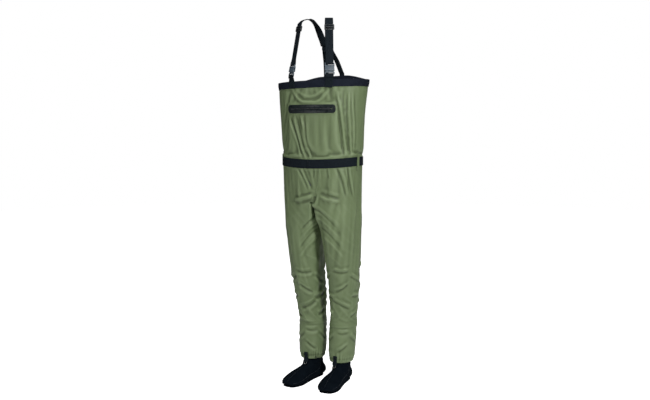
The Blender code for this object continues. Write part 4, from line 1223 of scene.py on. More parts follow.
def build_studio():
    scene = bpy.context.scene
    scene.view_settings.view_transform = "Standard"
    world = bpy.data.worlds.new("studio")
    scene.world = world
    world.use_nodes = True
    tree = world.node_tree
    background = tree.nodes["Background"]
    background.inputs["Color"].default_value = (1, 1, 1, 1)
    background.inputs["Strength"].default_value = 0.04
    bright = tree.nodes.new("ShaderNodeBackground")
    bright.inputs["Color"].default_value = (1, 1, 1, 1)
    bright.inputs["Strength"].default_value = 1.0
    path = tree.nodes.new("ShaderNodeLightPath")
    mix = tree.nodes.new("ShaderNodeMixShader")
    tree.links.new(path.outputs["Is Camera Ray"], mix.inputs[0])
    tree.links.new(background.outputs[0], mix.inputs[1])
    tree.links.new(bright.outputs[0], mix.inputs[2])
    tree.links.new(mix.outputs[0], tree.nodes["World Output"].inputs["Surface"])
    softbox("key", (2.9, -2.0, 2.4), (0, 0, 0.9), (0.5, 0.5), 88)
    softbox("fill", (-1.2, -3.0, 1.9), (0, 0, 0.8), (0.5, 0.5), 18)
    softbox("overhead", (0.3, -0.7, 3.6), (0, 0, 0), (1.4, 1.4), 30)
    softbox("back", (-0.6, 3.4, 2.2), (0, 0, 0.9), (1.6, 1.6), 45)


def build_floor():
    bm = bmesh.new()
    bmesh.ops.create_circle(bm, cap_ends=True, segments=96, radius=9.0)
    mesh = bpy.data.meshes.new("floor")
    bm.to_mesh(mesh)
    bm.free()
    floor = placed("floor", mesh)
    shade = Shade("floor_paper", 0.9, Specular_IOR_Level=0.0)
    shade.shader.inputs["Emission Color"].default_value = (1, 1, 1, 1)
    seen = shade.node("ShaderNodeLightPath").outputs["Is Camera Ray"]
    shade.tree.links.new(seen, shade.shader.inputs["Emission Strength"])
    grain = shade.noise("Object", 2.0, 3.0)
    shade.colour(shade.blend(grain, (0.93, 0.93, 0.93), (0.95, 0.95, 0.95)))
    mesh.materials.append(shade.material)


# --- Pieces that lie against the shell -----------------------------------------------------------------


class Skin:
    """The shell's outer surface, for the pieces that follow it."""

    def __init__(self, obj):
        points = [v.co - Vector((0, STANCE_SHIFT, 0)) for v in obj.data.vertices]
        self.tree = BVHTree.FromPolygons(points, [tuple(p.vertices) for p in obj.data.polygons])

    def kept_under(self, points, depth):
        """The points, with any that lie too near the surface moved to the given depth under it."""
        kept = np.array(points, float)
        flat = kept.reshape(-1, 3)
        for k, point in enumerate(flat):
            place, normal, _, _ = self.tree.find_nearest(Vector(point))
            if (Vector(point) - place).dot(normal) > -depth:
                flat[k] = place - normal * depth
        return kept

    def moved(self, points, out):
        """The nearest points of the surface, moved outwards, and the outward directions there."""
        points = np.asarray(points, float)
        found = [self.tree.find_nearest(Vector(p)) for p in points.reshape(-1, 3)]
        place = np.array([hit[0] for hit in found]).reshape(points.shape)
        normal = np.array([hit[1] for hit in found]).reshape(points.shape)
        return place + normal * np.asarray(out)[..., None], normal


def unit(vectors):
    return vectors / np.maximum(np.linalg.norm(vectors, axis=-1), 1e-12)[..., None]


def strip(name, path, width, out, thickness, material, crown=0.0):
    """A strip of sheet that follows the shell along a path, a given way out from it."""
    path = curve_through(path, 0.004)
    _, normal = skin.moved(path, 0.0)
    across = unit(np.cross(np.gradient(path, axis=0), normal))
    spread = np.linspace(-1, 1, 7)
    grid = path[:, None] + across[:, None] * (spread * width / 2)[None, :, None]
    grid, _ = skin.moved(grid, out + crown * (1 - spread**2)[None])
    return thick_grid(name, grid, thickness, material)


def shell_stitches(name, paths, material, slot, out=0.0004, **sizes):
    lines = []
    for path in paths:
        place, normal = skin.moved(curve_through(path, 0.003), out)
        lines.append((place, normal))
    return settle(stitches(name, lines, material, **sizes))


def torso_path(t, low, high, count=12):
    return torso_points(t, np.linspace(low, high, count))


# Seam tape: how far out from the shell's outer surface, and how thick.
TAPE_OUT = -0.0018
TAPE = 0.0004


def build_tapes():
    """Waterproof tape over the seams inside, and the felled side and rise seams outside."""
    tape, green = MATERIALS["seam_tape"], MATERIALS["green_shell"]
    for side, name, turn in ((1, "left", 0.0), (-1, "right", math.pi)):
        top = float(hem_foot(turn)) - 0.004
        outer = strip(name + "_side_tape", torso_path(turn, 0.875, 1.362), 0.022, TAPE_OUT, TAPE, tape)
        settle(outer, (name + "_side_seam_tape",))
        inseam = leg_points(side, math.pi, np.linspace(0.315, 0.700, 12))
        inner = strip(name + "_inner_leg_tape", inseam, 0.016, TAPE_OUT, TAPE, tape)
        settle(inner, (name + "_inseam_tape",))
        side_seam = torso_path(turn, 0.872, top)
        welt = strip(name + "_side_seam", side_seam, 0.0075, 0.0001, 0.0006, green, 0.0004)
        settle(welt)
        beside = [torso_path(turn + shift, 0.872, top, 40) for shift in (-0.014, 0.014)]
        shell_stitches(name + "_side_seam_thread", beside, MATERIALS["green_thread"], "green_shell")
    rise = torso_path(-math.pi / 2, 0.868, 1.000)
    rise_tape = strip("front_rise_tape", rise, 0.016, TAPE_OUT, TAPE, tape)
    settle(rise_tape, ("front_rise_seam_tape",))
    marks = ((-76, 1.016), (-78, 0.960), (-82, 0.905), (-88, 0.868))
    line = torso_line(marks, 0.004)
    settle(strip("front_rise_seam", line, 0.0060, 0.0001, 0.0006, green, 0.0004))
    shell_stitches("front_rise_thread", [line], MATERIALS["green_thread"], "green_shell", out=0.0010)


def build_gusset():
    """A diamond of lining over the point where the four leg seams meet."""
    rows = np.linspace(-0.1190, 0.1010, 24)
    grid = []
    for y in rows:
        share = 1 - abs((y + 0.010) / 0.1175)
        half = 0.004 + 0.014 * smooth(share * 1.6)
        drape = 0.0006 * math.sin(46 * y)
        xs = np.linspace(-half, half, 9)
        lift = 0.0025 + 0.0010 * (xs / 0.018) ** 2 + drape
        grid.append(np.stack([xs, np.full(9, y), CROTCH_Z + lift], 1))
    grid = skin.kept_under(grid, 0.0022)
    obj = thick_grid("crotch_diamond", grid, 0.0008, MATERIALS["dark_lining"])
    settle(obj, ("crotch_gusset",))


def zip_points(s, z, out):
    turn = (np.asarray(s) + ZIP_SHIFT) / ZIP_RADIUS
    s, z, out, turn = np.broadcast_arrays(s, z, out, turn)
    reach = ZIP_RADIUS + out
    return np.stack([reach * np.sin(turn), ZIP_AXIS_Y - reach * np.cos(turn), z], -1)


def build_pocket_bag():
    """Mesh lining that hangs from the zip, with a soft fold along its bottom."""
    profile = [(-0.0046, 1.2660), (-0.0050, 1.2400), (-0.0052, 1.2000), (-0.0056, 1.1600), (-0.0062, 1.1360)]
    profile += [(-0.0080, 1.1295), (-0.0105, 1.1280), (-0.0128, 1.1295), (-0.0139, 1.1360), (-0.0136, 1.1700)]
    profile += [(-0.0128, 1.2100), (-0.0120, 1.2500), (-0.0068, 1.2860)]
    profile = curve_through(np.array(profile), 0.004)
    s = np.linspace(-0.109, 0.111, 121)
    sag = 0.0012 * np.cos(s * 55)[None] * smooth((1.25 - profile[:, 1:]) / 0.1)
    bag = zip_points(s[None], np.maximum(profile[:, 1:] + sag, 1.1275), profile[:, :1])
    depth = 0.0048
    bag = skin.kept_under(skin.kept_under(bag, depth), depth)
    obj = thick_grid("pocket_lining", bag, 0.0006, MATERIALS["dark_lining"])
    settle(obj, ("pocket_bag",))


# --- Zip -----------------------------------------------------------------------------------------------


def loop_points(length, height, radius, per_corner=8, per_side=36):
    half_l, half_h = length / 2 - radius, height / 2 - radius
    points = []
    for right, top, start in ((1, -1, -90), (1, 1, 0), (-1, 1, 90), (-1, -1, 180)):
        for k in range(per_corner + 1):
            turn = math.radians(start + 90 * k / per_corner)
            points.append((right * half_l + radius * math.cos(turn), top * half_h + radius * math.sin(turn)))
        if right == top:
            for k in range(1, per_side):
                points.append((right * half_l * (1 - 2 * k / per_side), top * height / 2))
    return np.array(points)


def build_zip_surround():
    """Film welded round the zip: soft outer edge, a bead round the mouth, a moulded step between."""
    rings = []
    steps = ((0.0, 0.0005), (0.0006, 0.0019), (0.0016, 0.0026), (0.0040, 0.0028), (0.0052, 0.0023))
    rim = 0.0128
    steps += ((0.0088, 0.0023), (0.0098, 0.0028), (0.0108, 0.0034), (0.0120, 0.0033), (rim, 0.0025))
    for inset, out in steps + ((0.0126, 0.0012),):
        share = inset / rim
        length = ZIP_FRAME[0] - 2 * inset - (ZIP_FRAME[0] - ZIP_MOUTH[0] - 2 * rim) * share
        height = ZIP_FRAME[1] - 2 * inset
        rings.append((loop_points(length, height, 0.0140 - 0.0085 * share), out))
    grid = np.array([zip_points(loop[:, 0], ZIP_Z + loop[:, 1], out) for loop, out in rings])
    back = [zip_points(loop[:, 0], ZIP_Z + loop[:, 1], 0.0004) for loop, _ in (rings[-1], rings[0])]
    grid = np.vstack([grid, back])
    rows, columns = grid.shape[:2]
    faces = []
    for r in range(rows):
        for c in range(columns):
            d, q = (c + 1) % columns, (r + 1) % rows
            faces.append((r * columns + c, r * columns + d, q * columns + d, q * columns + c))
    obj = make_mesh("zip_surround", grid, faces, MATERIALS["welded_film"])
    fix_normals(obj)
    settle(obj, ("zip_frame",))


def build_zip_tapes():
    s = np.linspace(-ZIP_MOUTH[0] / 2 - 0.004, ZIP_MOUTH[0] / 2 + 0.004, 60)
    for name, sign in (("upper", 1), ("lower", -1)):
        offsets = np.linspace(0.0020, 0.0100, 6)[:, None] * sign
        out = 0.0012 + 0.0005 * (np.abs(offsets[::sign]) < 0.004)
        grid = zip_points(s[None], ZIP_Z + offsets[::sign], out)
        tape = thick_grid("zip_" + name + "_coated_tape", grid, 0.0005, MATERIALS["dark_lining"])
        settle(tape, ("zip_" + name + "_tape",))


def build_zip_teeth():
    """Separate moulded teeth, each with a shoulder and a rounded head that sits between its neighbours."""
    length = ZIP_MOUTH[0] - 0.028
    pitch = 0.0024
    count = int(length / pitch)
    outline = ((-0.00062, 0.0036), (-0.00062, 0.0012), (-0.00095, 0.0004))
    outline += ((-0.00080, -0.0006), (0.0, -0.0010))
    outline += ((0.00080, -0.0006), (0.00095, 0.0004), (0.00062, 0.0012), (0.00062, 0.0036))
    for name, sign in (("upper", 1), ("lower", -1)):
        points, faces = [], []
        for k in range(count):
            middle = -length / 2 + 0.0095 + pitch * (k + (0.5 if sign > 0 else 0.0))
            base = len(points)
            for out, size in ((0.0014, 1.0), (0.0026, 1.0), (0.0031, 0.72)):
                for x, h in outline:
                    height = ZIP_Z + sign * (h * size + 0.0011 * (1 - size))
                    points.append(zip_points(middle + x * size, height, out))
            n = len(outline)
            for ring in range(2):
                for a in range(n):
                    b = (a + 1) % n
                    first = base + ring * n
                    faces.append((first + a, first + b, first + b + n, first + a + n))
            faces.append(tuple(base + a for a in range(n))[::-1])
            faces.append(tuple(base + 2 * n + a for a in range(n)))
        obj = make_mesh("zip_" + name + "_tooth_row", points, faces, MATERIALS["zip_resin"])
        fix_normals(obj)
        settle(obj, ("zip_" + name + "_teeth",))


# --- Moulded pieces ------------------------------------------------------------------------------------


def body_of_node(node):
    for body, nodes in frame["record"]["behaviour"]["bodies"].items():
        if node in nodes:
            return body
    return "waders"


def moulded_copy(node, name, width):
    """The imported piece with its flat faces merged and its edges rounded."""
    source = frame["nodes"][node]
    mesh = source.data.copy()
    mesh.name = name
    bm = bmesh.new()
    bm.from_mesh(mesh)
    bm.transform(source.matrix_world)
    bmesh.ops.remove_doubles(bm, verts=bm.verts, dist=2e-5)
    bmesh.ops.dissolve_limit(bm, angle_limit=math.radians(1.5), verts=bm.verts, edges=bm.edges)
    bm.to_mesh(mesh)
    bm.free()
    slot = next(p["material_slot"] for p in frame["record"]["subparts"] if p["node"] == node)
    mesh.materials.clear()
    mesh.materials.append(MATERIALS[slot])
    mesh.shade_smooth()
    obj = placed(name, mesh)
    bevel = obj.modifiers.new("rounded_edges", "BEVEL")
    bevel.width = width
    bevel.segments = 3
    bevel.limit_method = "ANGLE"
    bevel.angle_limit = math.radians(28)
    bevel.harden_normals = True
    settle(obj, (node,), body_of_node(node))


def object_from(bm, name, slot, sharp):
    """The bmesh as a smooth object whose edges stay sharp past an angle in degrees."""
    mesh = bpy.data.meshes.new(name)
    bm.to_mesh(mesh)
    bm.free()
    mesh.transform(Matrix.Translation((0, STANCE_SHIFT, 0)))
    mesh.materials.append(MATERIALS[slot])
    mesh.shade_smooth()
    mesh.set_sharp_from_angle(angle=math.radians(sharp))
    return placed(name, mesh)


def ribs(name, matrix, boxes, slot, body):
    """Small rounded ribs moulded on a piece, each box given as (size, centre) in its frame."""
    bm = bmesh.new()
    for size, centre in boxes:
        verts = bmesh.ops.create_cube(bm, size=1.0)["verts"]
        for vert in verts:
            vert.co = matrix @ Vector([vert.co[i] * size[i] + centre[i] for i in range(3)])
    bmesh.ops.recalc_face_normals(bm, faces=bm.faces)
    bmesh.ops.bevel(bm, geom=bm.edges[:], offset=0.00035, segments=2, affect="EDGES")
    settle(object_from(bm, name, slot, 40), (), body)


def build_moulded():
    for side in ("left", "right"):
        moulded_copy(side + "_buckle_prongs", side + "_buckle_spring_arms", 0.0005)
        moulded_copy(side + "_buckle_socket", side + "_buckle_mouth", 0.0007)
        moulded_copy(side + "_strap_adjuster", side + "_strap_slide", 0.0006)
    moulded_copy("belt_buckle_prongs", "belt_spring_arms", 0.0005)
    moulded_copy("belt_buckle_socket", "belt_mouth", 0.0007)
    moulded_copy("zip_slider", "zip_slide_block", 0.0004)
    moulded_copy("zip_puller", "zip_pull_tab", 0.0004)
    moulded_copy("zip_dock", "zip_dock_block", 0.0009)
    for side, name in ((1, "left"), (-1, "right")):
        matrix = buckle_matrix(side)
        face = [((0.0230, 0.0010, 0.0011), (0, 0.0046, z)) for z in (0.0186, 0.0206, 0.0226)]
        ribs(name + "_buckle_grip", matrix, face, "buckle_plastic", name + "_buckle_half")
        slide = matrix @ Matrix.Translation((0, 0, ADJUSTER_AT))
        bars = [((0.030, 0.0009, 0.0012), (0, 0.0040, z)) for z in (-0.0008, 0.0012)]
        ribs(name + "_slide_grip", slide, bars, "black_plastic", name + "_adjuster")


# --- Suspenders ----------------------------------------------------------------------------------------


def strap_axes(side):
    """Forward from the cross patch, across the strap, out from the chest, and up the front run."""
    forward = Vector((side * math.sin(STRAP_TURN), -math.cos(STRAP_TURN), 0))
    across = Vector((math.cos(STRAP_TURN), side * math.sin(STRAP_TURN), 0))
    up = (Vector((0, 0, 1)) - forward * RUN_SLOPE).normalized()
    return forward, across, up.cross(across) * -1, up


def strap_point(side, reach, z):
    forward, *_ = strap_axes(side)
    return Vector((0, CROSS_Y, 0)) + forward * reach + Vector((0, 0, z))


def buckle_matrix(side):
    """The frame at a suspender buckle's mouth: X across, Y out from the chest, Z up the strap."""
    _, across, away, up = strap_axes(side)
    matrix = Matrix((across, away, up)).transposed().to_4x4()
    if matrix.determinant() < 0:
        matrix = Matrix((-across, away, up)).transposed().to_4x4()
    matrix.translation = strap_point(side, HEM_REACH - RUN_SLOPE * (BUCKLE_Z - 1.409), BUCKLE_Z)
    return matrix


def fold_round(centre, low_turn, high_turn):
    points = []
    for k in range(9):
        turn = math.radians(low_turn + (high_turn - low_turn) * k / 8)
        points.append((FOLD_RADIUS * math.cos(turn), centre + FOLD_RADIUS * math.sin(turn)))
    return points


def turned_across(side, angle):
    return Vector((math.cos(angle), side * math.sin(angle), 0))


def box_stitch(centre, across, along, away, width, length):
    """A sewn rectangle with its two diagonals, as lines of points with their outward directions."""
    corners = [(-1, -1), (1, -1), (1, 1), (-1, 1)]
    paths = [(corners[k], corners[(k + 1) % 4]) for k in range(4)]
    paths += [(corners[0], corners[2]), (corners[1], corners[3])]
    lines = []
    for (x0, y0), (x1, y1) in paths:
        u = np.linspace(0, 1, 12)[:, None]
        start = np.array(across) * x0 * width / 2 + np.array(along) * y0 * length / 2
        end = np.array(across) * x1 * width / 2 + np.array(along) * y1 * length / 2
        points = np.array(centre) + start + (end - start) * u
        lines.append((points, np.broadcast_to(np.array(away), points.shape)))
    return lines


def build_suspender(side, name):
    webbing = MATERIALS["black_webbing"]
    matrix = buckle_matrix(side)
    across = strap_axes(side)[1]
    place = lambda out, rise: matrix @ Vector((0, out, rise))
    local = [(0.0019, -0.0300), (0.0034, -0.0230)] + fold_round(-0.0152, 0, 180)
    local += [(-0.0034, -0.0230), (-0.0016, -0.0300)]
    stations = [(place(out, rise), across) for out, rise in local]
    turn = -math.pi / 2 + side * 0.42
    tail = ((1.4080, 0.60, 0.0052), (1.3960, 0.42, 0.0038), (1.3830, 0.40, 0.0034), (1.3700, 0.40, 0.0032))
    for z, turned, out in tail:
        stations.append((Vector(torso_points(turn, z, out)), turned_across(side, STRAP_TURN * turned)))
    tab = ribbon(name + "_hem_tab", stations, STRAP_WIDTH, WEBBING, webbing)
    settle(tab, (name + "_front_tab",))
    lines = []
    for z in (1.3745, 1.3960):
        ends = [torso_points(turn + shift, z, 0.0043) for shift in (-0.085, 0.085)]
        row = np.linspace(ends[0], ends[1], 14)
        lines.append((row, np.broadcast_to(np.array(strap_axes(side)[0]), row.shape)))
    settle(stitches(name + "_hem_tab_thread", lines, MATERIALS["dark_thread"]))
    local = [(LAYER, rise) for rise in (0.2220, 0.1500, 0.1000, 0.0600)] + [(FOLD_RADIUS, 0.0380)]
    local += fold_round(0.0317, 0, -180)[1:-1] + [(-FOLD_RADIUS, 0.0380)]
    local += [(-LAYER, rise) for rise in (0.0600, 0.1000, 0.1500, 0.2180)]
    stations = [(place(out, rise), across) for out, rise in local]
    stations += [(strap_point(side, reach, z), across) for reach, z in SHOULDER_FRONT]
    strap = ribbon(name + "_front_webbing", stations, STRAP_WIDTH, WEBBING, webbing)
    settle(strap, (name + "_front_strap",), name + "_buckle_half")
    stations = []
    for reach, z in SHOULDER_BACK:
        near = float(smooth((0.075 - reach) / 0.037))
        point = strap_point(side, reach, z) + Vector((0, side * 0.0013 * near, 0))
        stations.append((point, turned_across(side, STRAP_TURN * (1 - near))))
    strap = ribbon(name + "_shoulder_webbing", stations, STRAP_WIDTH, WEBBING, webbing)
    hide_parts(name + "_shoulder_strap")
    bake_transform(strap)
    build_back_elastic(side, name)


def build_back_elastic(side, name):
    across = Vector((1, 0, 0))
    stations = [(Vector((side * 0.0136, CROSS_Y - 0.0016, CROSS_Z - 0.0040)), across)]
    run = ((0.0170, CROSS_Y + 0.0020, CROSS_Z - 0.0220), (0.0290, 0.0740, 1.5000), (0.0390, 0.0975, 1.4520))
    for x, y, z in run:
        stations.append((Vector((side * x, y, z)), across))
    for z in (1.4420, 1.4270, 1.4120):
        y = float(torso_points(math.pi / 2 - side * 0.190, z, 0.0029)[1]) + 0.0004
        stations.append((Vector((side * 0.0415, y, z)), across))
    webbing = MATERIALS["black_webbing"]
    elastic = ribbon(name + "_elastic_run", stations[::-1], ELASTIC_WIDTH, WEBBING, webbing)
    settle(elastic, (name + "_back_elastic",))
    centre = stations[-2][0] + Vector((0, 0.0009, 0))
    lines = box_stitch(centre, (1, 0, 0), (0, 0, 1), (0, 1, 0), 0.019, 0.020)
    settle(stitches(name + "_elastic_thread", lines, MATERIALS["dark_thread"]))


def build_cross_patch():
    """The patch with cut corners over the four strap ends, sewn round its edge."""
    centre = Vector((0, CROSS_Y - 0.0050, CROSS_Z - 0.003))
    bm = bmesh.new()
    half_w, half_h, cut = 0.0285, 0.0210, 0.008
    outline = [(-half_w, -half_h + cut), (-half_w + cut, -half_h)]
    outline += [(half_w - cut, -half_h), (half_w, -half_h + cut)]
    outline += [(-x, -z) for x, z in outline]
    for y in (-0.0008, 0.0008):
        bm.faces.new([bm.verts.new(centre + Vector((x, y, z))) for x, z in outline])
    bm.verts.ensure_lookup_table()
    count = len(outline)
    for a in range(count):
        b = (a + 1) % count
        bm.faces.new((bm.verts[a], bm.verts[b], bm.verts[b + count], bm.verts[a + count]))
    bmesh.ops.recalc_face_normals(bm, faces=bm.faces)
    bmesh.ops.bevel(bm, geom=bm.edges[:], offset=0.0006, segments=2, affect="EDGES")
    layer = bm.loops.layers.uv.new("metres")
    for face in bm.faces:
        for loop in face.loops:
            loop[layer].uv = (loop.vert.co.x, loop.vert.co.z)
    obj = object_from(bm, "strap_cross_piece", "black_webbing", 50)
    settle(obj, ("cross_patch",))
    lines = []
    for y, away in ((-0.0008, -1), (0.0008, 1)):
        ring = np.array([(x * 0.88, z * 0.85) for x, z in outline + outline[:1]])
        for (x0, z0), (x1, z1) in zip(ring, ring[1:]):
            row = np.linspace((x0, 0, z0), (x1, 0, z1), 8) + np.array(centre + Vector((0, y, 0)))
            lines.append((row, np.broadcast_to((0.0, float(away), 0.0), row.shape)))
    settle(stitches("cross_piece_thread", lines, MATERIALS["dark_thread"]))


# --- Belt ----------------------------------------------------------------------------------------------


def belt_out(layer):
    return BELT_CLEAR + WEBBING * (0.5 + layer) + 0.0004 * layer


def belt_station(t, out):
    return Vector(torso_points(t, float(belt_middle(t)), out)), Vector((0, 0, 1))


def belt_fold(side, bar_y, tail):
    points = []
    for k in range(9):
        turn = math.radians(-90 + 180 * k / 8)
        points.append((BELT_BAR_X - FOLD_RADIUS * math.cos(turn), bar_y + FOLD_RADIUS * math.sin(turn)))
    return [(Vector((side * x, y, BELT_Z)), Vector((0, 0, 1))) for x, y in points + list(tail)]


def build_belt():
    """Two lengths that overlap at the front, a folded end loop and four keeper loops."""
    webbing = MATERIALS["black_webbing"]
    _, _, back, centre = (float(v) for v in section(TORSO, BELT_Z))
    rear_y = centre + back
    bar_y = rear_y + BELT_BAR_OUT
    turns = np.linspace(-math.pi / 2 - 0.045, math.pi / 2 - 0.285, 60)
    stations = [belt_station(t, belt_out(float(smooth((-math.pi / 2 + 0.09 - t) / 0.07)))) for t in turns]
    tail = ((0.036, bar_y + 0.0030), (0.050, bar_y - 0.0032), (0.064, bar_y - 0.0072))
    left = ribbon("left_belt", stations + belt_fold(1, bar_y, tail), BELT_HEIGHT, WEBBING, webbing)
    settle(left, ("left_belt_webbing",))
    turns = np.linspace(-math.pi / 2 + 0.055, -1.5 * math.pi + 0.16, 60)
    right = ribbon("right_belt", [belt_station(t, belt_out(0)) for t in turns], BELT_HEIGHT, WEBBING, webbing)
    settle(right, ("right_belt_webbing",))
    upright = Vector((0, 0, 1))
    ends = ((0.060, rear_y + 0.0036), (0.040, rear_y + 0.0044))
    start = [(Vector((-x, y, BELT_Z)), upright) for x, y in ends]
    outer = ((0.036, rear_y + 0.0115), (0.050, rear_y + 0.0085), (0.060, rear_y + 0.0060))
    end = [(Vector((-x, y, BELT_Z)), upright) for x, y in outer]
    loop = ribbon("belt_end_fold", start + belt_fold(-1, bar_y, ()) + end, BELT_HEIGHT, WEBBING, webbing)
    settle(loop, ("right_belt_end_loop",), "belt_buckle_half")
    lines = []
    for t in (-math.pi / 2 - 0.030, -math.pi / 2 + 0.012):
        top = torso_points(t, float(belt_middle(t)) + 0.0175, belt_out(1) + 0.0008)
        row = np.linspace(top, top - (0, 0, 0.035), 14)
        lines.append((row, np.broadcast_to((0.0, -1.0, 0.0), row.shape)))
    settle(stitches("belt_overlap_thread", lines, MATERIALS["dark_thread"]))
    for side, name in ((1, "left"), (-1, "right")):
        front = -0.19 if side > 0 else -math.pi + 0.19
        rear = 1.06 if side > 0 else math.pi - 1.06
        build_belt_loop(name + "_keeper", front, name + "_belt_loop")
        build_belt_loop(name + "_rear_keeper", rear, name + "_rear_belt_loop")


def build_belt_loop(name, t, node):
    centre, ahead = torso_points(np.array([t, t + 0.02]), BELT_Z)
    along = Vector(ahead - centre).normalized()
    away = along.cross(Vector((0, 0, 1)))
    stations = []
    profile = ((0.0012, -0.0420), (0.0012, -0.0310), (0.0060, -0.0248), (0.0062, 0.0))
    for out, up in profile + ((0.0060, 0.0248), (0.0012, 0.0310), (0.0012, 0.0400)):
        stations.append((Vector(torso_points(t, BELT_Z + up)) + away * out, along))
    obj = ribbon(name, stations, 0.016, 0.0011, MATERIALS["green_shell"])
    settle(obj, (node,))
    lines = []
    for up in (-0.0390, -0.0345, 0.0330, 0.0375):
        middle = Vector(torso_points(t, BELT_Z + up)) + away * 0.0019
        row = np.linspace(np.array(middle - along * 0.007), np.array(middle + along * 0.007), 8)
        lines.append((row, np.broadcast_to(np.array(away), row.shape)))
    sewing = stitches(name + "_thread", lines, MATERIALS["green_thread"], pitch=0.0022, length=0.0018)
    settle(sewing)


# --- Socks and lace hooks ------------------------------------------------------------------------------


def foot_points(side, forward, lateral, z):
    _, _, ankle_y, ankle_x = (float(v) for v in section(LEG, 0.10))
    ahead = np.asarray(forward) - ANKLE_BEHIND
    x = ankle_x + ahead * math.sin(TOE_OUT) + lateral * math.cos(TOE_OUT)
    y = ankle_y - ahead * math.cos(TOE_OUT) + lateral * math.sin(TOE_OUT)
    x, y, z = np.broadcast_arrays(side * x, y, z)
    return np.stack([x, y, z], -1)


def sock_grid(side, columns=96):
    """Rings of points from the sock's top down and forward to the toe."""
    rings = curve_through(np.array(SOCK_RINGS), 0.0035)
    t = 2 * math.pi * np.arange(columns) / columns
    c, s = np.cos(t), np.sin(t)
    rows = []
    for top_s, top_z, low_s, low_z, half_width in rings:
        flat = float(smooth((0.060 - low_z) / 0.045))
        power = np.where(c > 0, SOCK_POWER, SOCK_POWER + (SOCK_FLOOR_POWER - SOCK_POWER) * flat)
        r = (np.abs(c) ** power + np.abs(s) ** power) ** (-1 / power)
        forward = (top_s + low_s) / 2 + (top_s - low_s) / 2 * r * c
        z = (top_z + low_z) / 2 + (top_z - low_z) / 2 * r * c
        rows.append(foot_points(side, forward, half_width * r * s, z))
    return np.array(rows)


def build_sock(side, name):
    """Neoprene foot with creases round the ankle, a seam along its upper and a closed toe."""
    grid = sock_grid(side)[:, ::-side]
    rows, columns = grid.shape[:2]
    toe = foot_points(side, SOCK_TOE[0], 0.0, SOCK_TOE[1])
    flat = grid.reshape(-1, 3)
    faces = grid_faces(rows, columns, True)
    normals = point_normals(flat, faces)
    middle = flat.mean(0)
    if ((flat - middle) * normals).sum() < 0:
        normals = -normals
    height = flat[:, 2]
    crease = 0.0011 * np.sin(height * 330 + 1.1 * np.sin(flat[:, 0] * 90 + side) + 14 * flat[:, 1])
    crease *= smooth((height - 0.060) / 0.02) * smooth((0.112 - height) / 0.02)
    rise = crease - 0.0008 + 0.0007 * wobble(flat, 0.05, 30 + side) * smooth((height - 0.012) / 0.01)
    flat = flat + normals * rise[:, None]
    flat[:, 2] = np.maximum(flat[:, 2], 0.0045)
    low = (rows - 1) * columns
    points = np.vstack([flat, toe[None]])
    faces += [(low + c, low + (c + 1) % columns, rows * columns) for c in range(columns)]
    uv = np.vstack([flat[:, :2], toe[None, :2]])
    obj = make_mesh(name + "_neoprene_sock", points, faces, MATERIALS["neoprene"], uv)
    fix_normals(obj)
    solidify = obj.modifiers.new("thickness", "SOLIDIFY")
    solidify.thickness = 0.0034
    solidify.offset = -1.0
    settle(obj, (name + "_sock",))
    grid = flat.reshape(grid.shape)
    seam_lines = []
    instep = int(rows * 0.42)
    for rings, column in ((grid[10:-4], columns // 4), (grid[10:-4], 3 * columns // 4), (grid[instep:-2], 0)):
        line = rings[:, column]
        seam_lines.append((line, unit(line - rings.mean(1))))
    seam = stitches(name + "_sock_flatlock", seam_lines, MATERIALS["dark_thread"], 0.0026, 0.0021, 0.0005)
    settle(seam)


def build_sole(side, name):
    """Sole with a rounded rim."""
    outline = np.array([(s, w) for s, w in SOLE_OUTLINE] + [(s, -w) for s, w in reversed(SOLE_OUTLINE)])
    closed = np.vstack([outline[-1:], outline, outline[:2]])
    ring = curve_through(closed, 0.004)
    start = np.argmin(np.linalg.norm(ring - outline[0], axis=1))
    end = len(ring) - 1 - np.argmin(np.linalg.norm(ring[::-1] - outline[0], axis=1))
    ring = ring[start:end]
    middle = np.array([0.150, 0.0])
    points = []
    profile = ((0.0030, 0.0), (0.0008, 0.0), (0.0, 0.0010))
    profile += ((-0.0006, 0.0030), (0.0, 0.0038), (0.0012, 0.0042))
    for inset, z in profile:
        inward = unit(middle - ring) * inset
        points.append(foot_points(side, ring[:, 0] + inward[:, 0], ring[:, 1] + inward[:, 1], z))
    points = np.array(points)
    rows, columns = points.shape[:2]
    faces = tube_faces(rows, columns)
    obj = make_mesh(name + "_rubber_sole", points, faces, MATERIALS["neoprene"])
    fix_normals(obj)
    settle(obj, (name + "_sock_sole",))


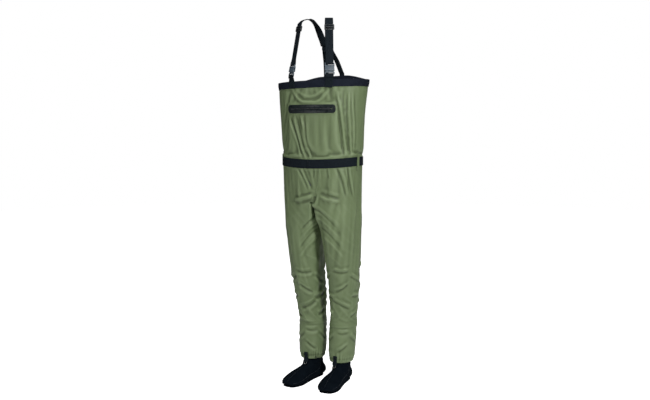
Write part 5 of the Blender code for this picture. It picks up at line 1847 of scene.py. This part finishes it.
def build_hook_tab(side, name):
    across = Vector((1, 0, 0))
    stations = []
    for z, out in ((0.1340, 0.0022), (0.1200, 0.0034), (0.1080, 0.0032), (0.1030, 0.0024)):
        stations.append((Vector(leg_points(side, -math.pi / 2, z, out)), across))
    edge = Vector(leg_points(side, -math.pi / 2, 0.1030, 0.0018))
    for back, drop in ((0.0030, 0.0060), (0.0060, 0.0115), (0.0085, 0.0160)):
        stations.append((Vector((edge.x, edge.y - back, edge.z - drop)), across))
    body = name + "_tab"
    tab = ribbon(name + "_lace_tab", stations, 0.019, WEBBING, MATERIALS["black_webbing"], 0.0015)
    settle(tab, (name + "_hook_tab",), body)
    tip = stations[-1][0]
    path = [(-0.006, 0.0015), (-0.006, -0.003), (-0.0052, -0.0064), (-0.0030, -0.0082), (0.0, -0.0087)]
    path += [(-x, z) for x, z in reversed(path[:-1])]
    points = [(tip.x + x, tip.y - 0.0022 - 0.25 * abs(z), tip.z + z + 0.001) for x, z in path]
    line = curve_through(np.array(points), 0.0006)
    hook = rod(name + "_wire_hook", line, 0.0009, MATERIALS["hook_wire"])
    settle(hook, (name + "_lace_hook",), body)
    top = stations[0][0] + Vector((0, -0.0009, -0.0030))
    lines = box_stitch(top - Vector((0, 0, 0.0015)), (1, 0, 0), (0, 0, 1), (0, -1, 0), 0.014, 0.0055)[:4]
    thread_rows = stitches(name + "_tab_thread", lines, MATERIALS["dark_thread"], 0.0022, 0.0017, 0.0003)
    settle(thread_rows, (), body)


def rod(name, line, radius, material, sides=12):
    """A round wire along a line of points, with domed ends."""
    along = unit(np.gradient(line, axis=0))
    side_way = np.cross(along, (0.0, 1.0, 0.0))
    side_way = unit(np.where(np.linalg.norm(side_way, axis=1)[:, None] > 1e-6, side_way, (1.0, 0.0, 0.0)))
    up = np.cross(side_way, along)
    sizes = np.ones(len(line))
    sizes[[0, -1]] = 0.55
    turns = 2 * math.pi * np.arange(sides) / sides
    ring = side_way[:, None] * np.cos(turns)[None, :, None] + up[:, None] * np.sin(turns)[None, :, None]
    points = line[:, None] + ring * radius * sizes[:, None, None]
    obj = make_mesh(name, points.reshape(-1, 3), tube_faces(len(line), sides), material)
    fix_normals(obj)
    return obj


# --- Assembly ------------------------------------------------------------------------------------------


build_camera()
build_studio()
build_floor()
shell = build_shell()
skin = Skin(shell)
build_tapes()
build_gusset()
build_pocket_bag()
build_zip_surround()
build_zip_tapes()
build_zip_teeth()
build_moulded()
build_hem()
build_belt()
build_cross_patch()
for wearer_side, wearer_name in ((1, "left"), (-1, "right")):
    build_guard(wearer_side, wearer_name)
    build_sock(wearer_side, wearer_name)
    build_sole(wearer_side, wearer_name)
    build_hook_tab(wearer_side, wearer_name)
    build_suspender(wearer_side, wearer_name)
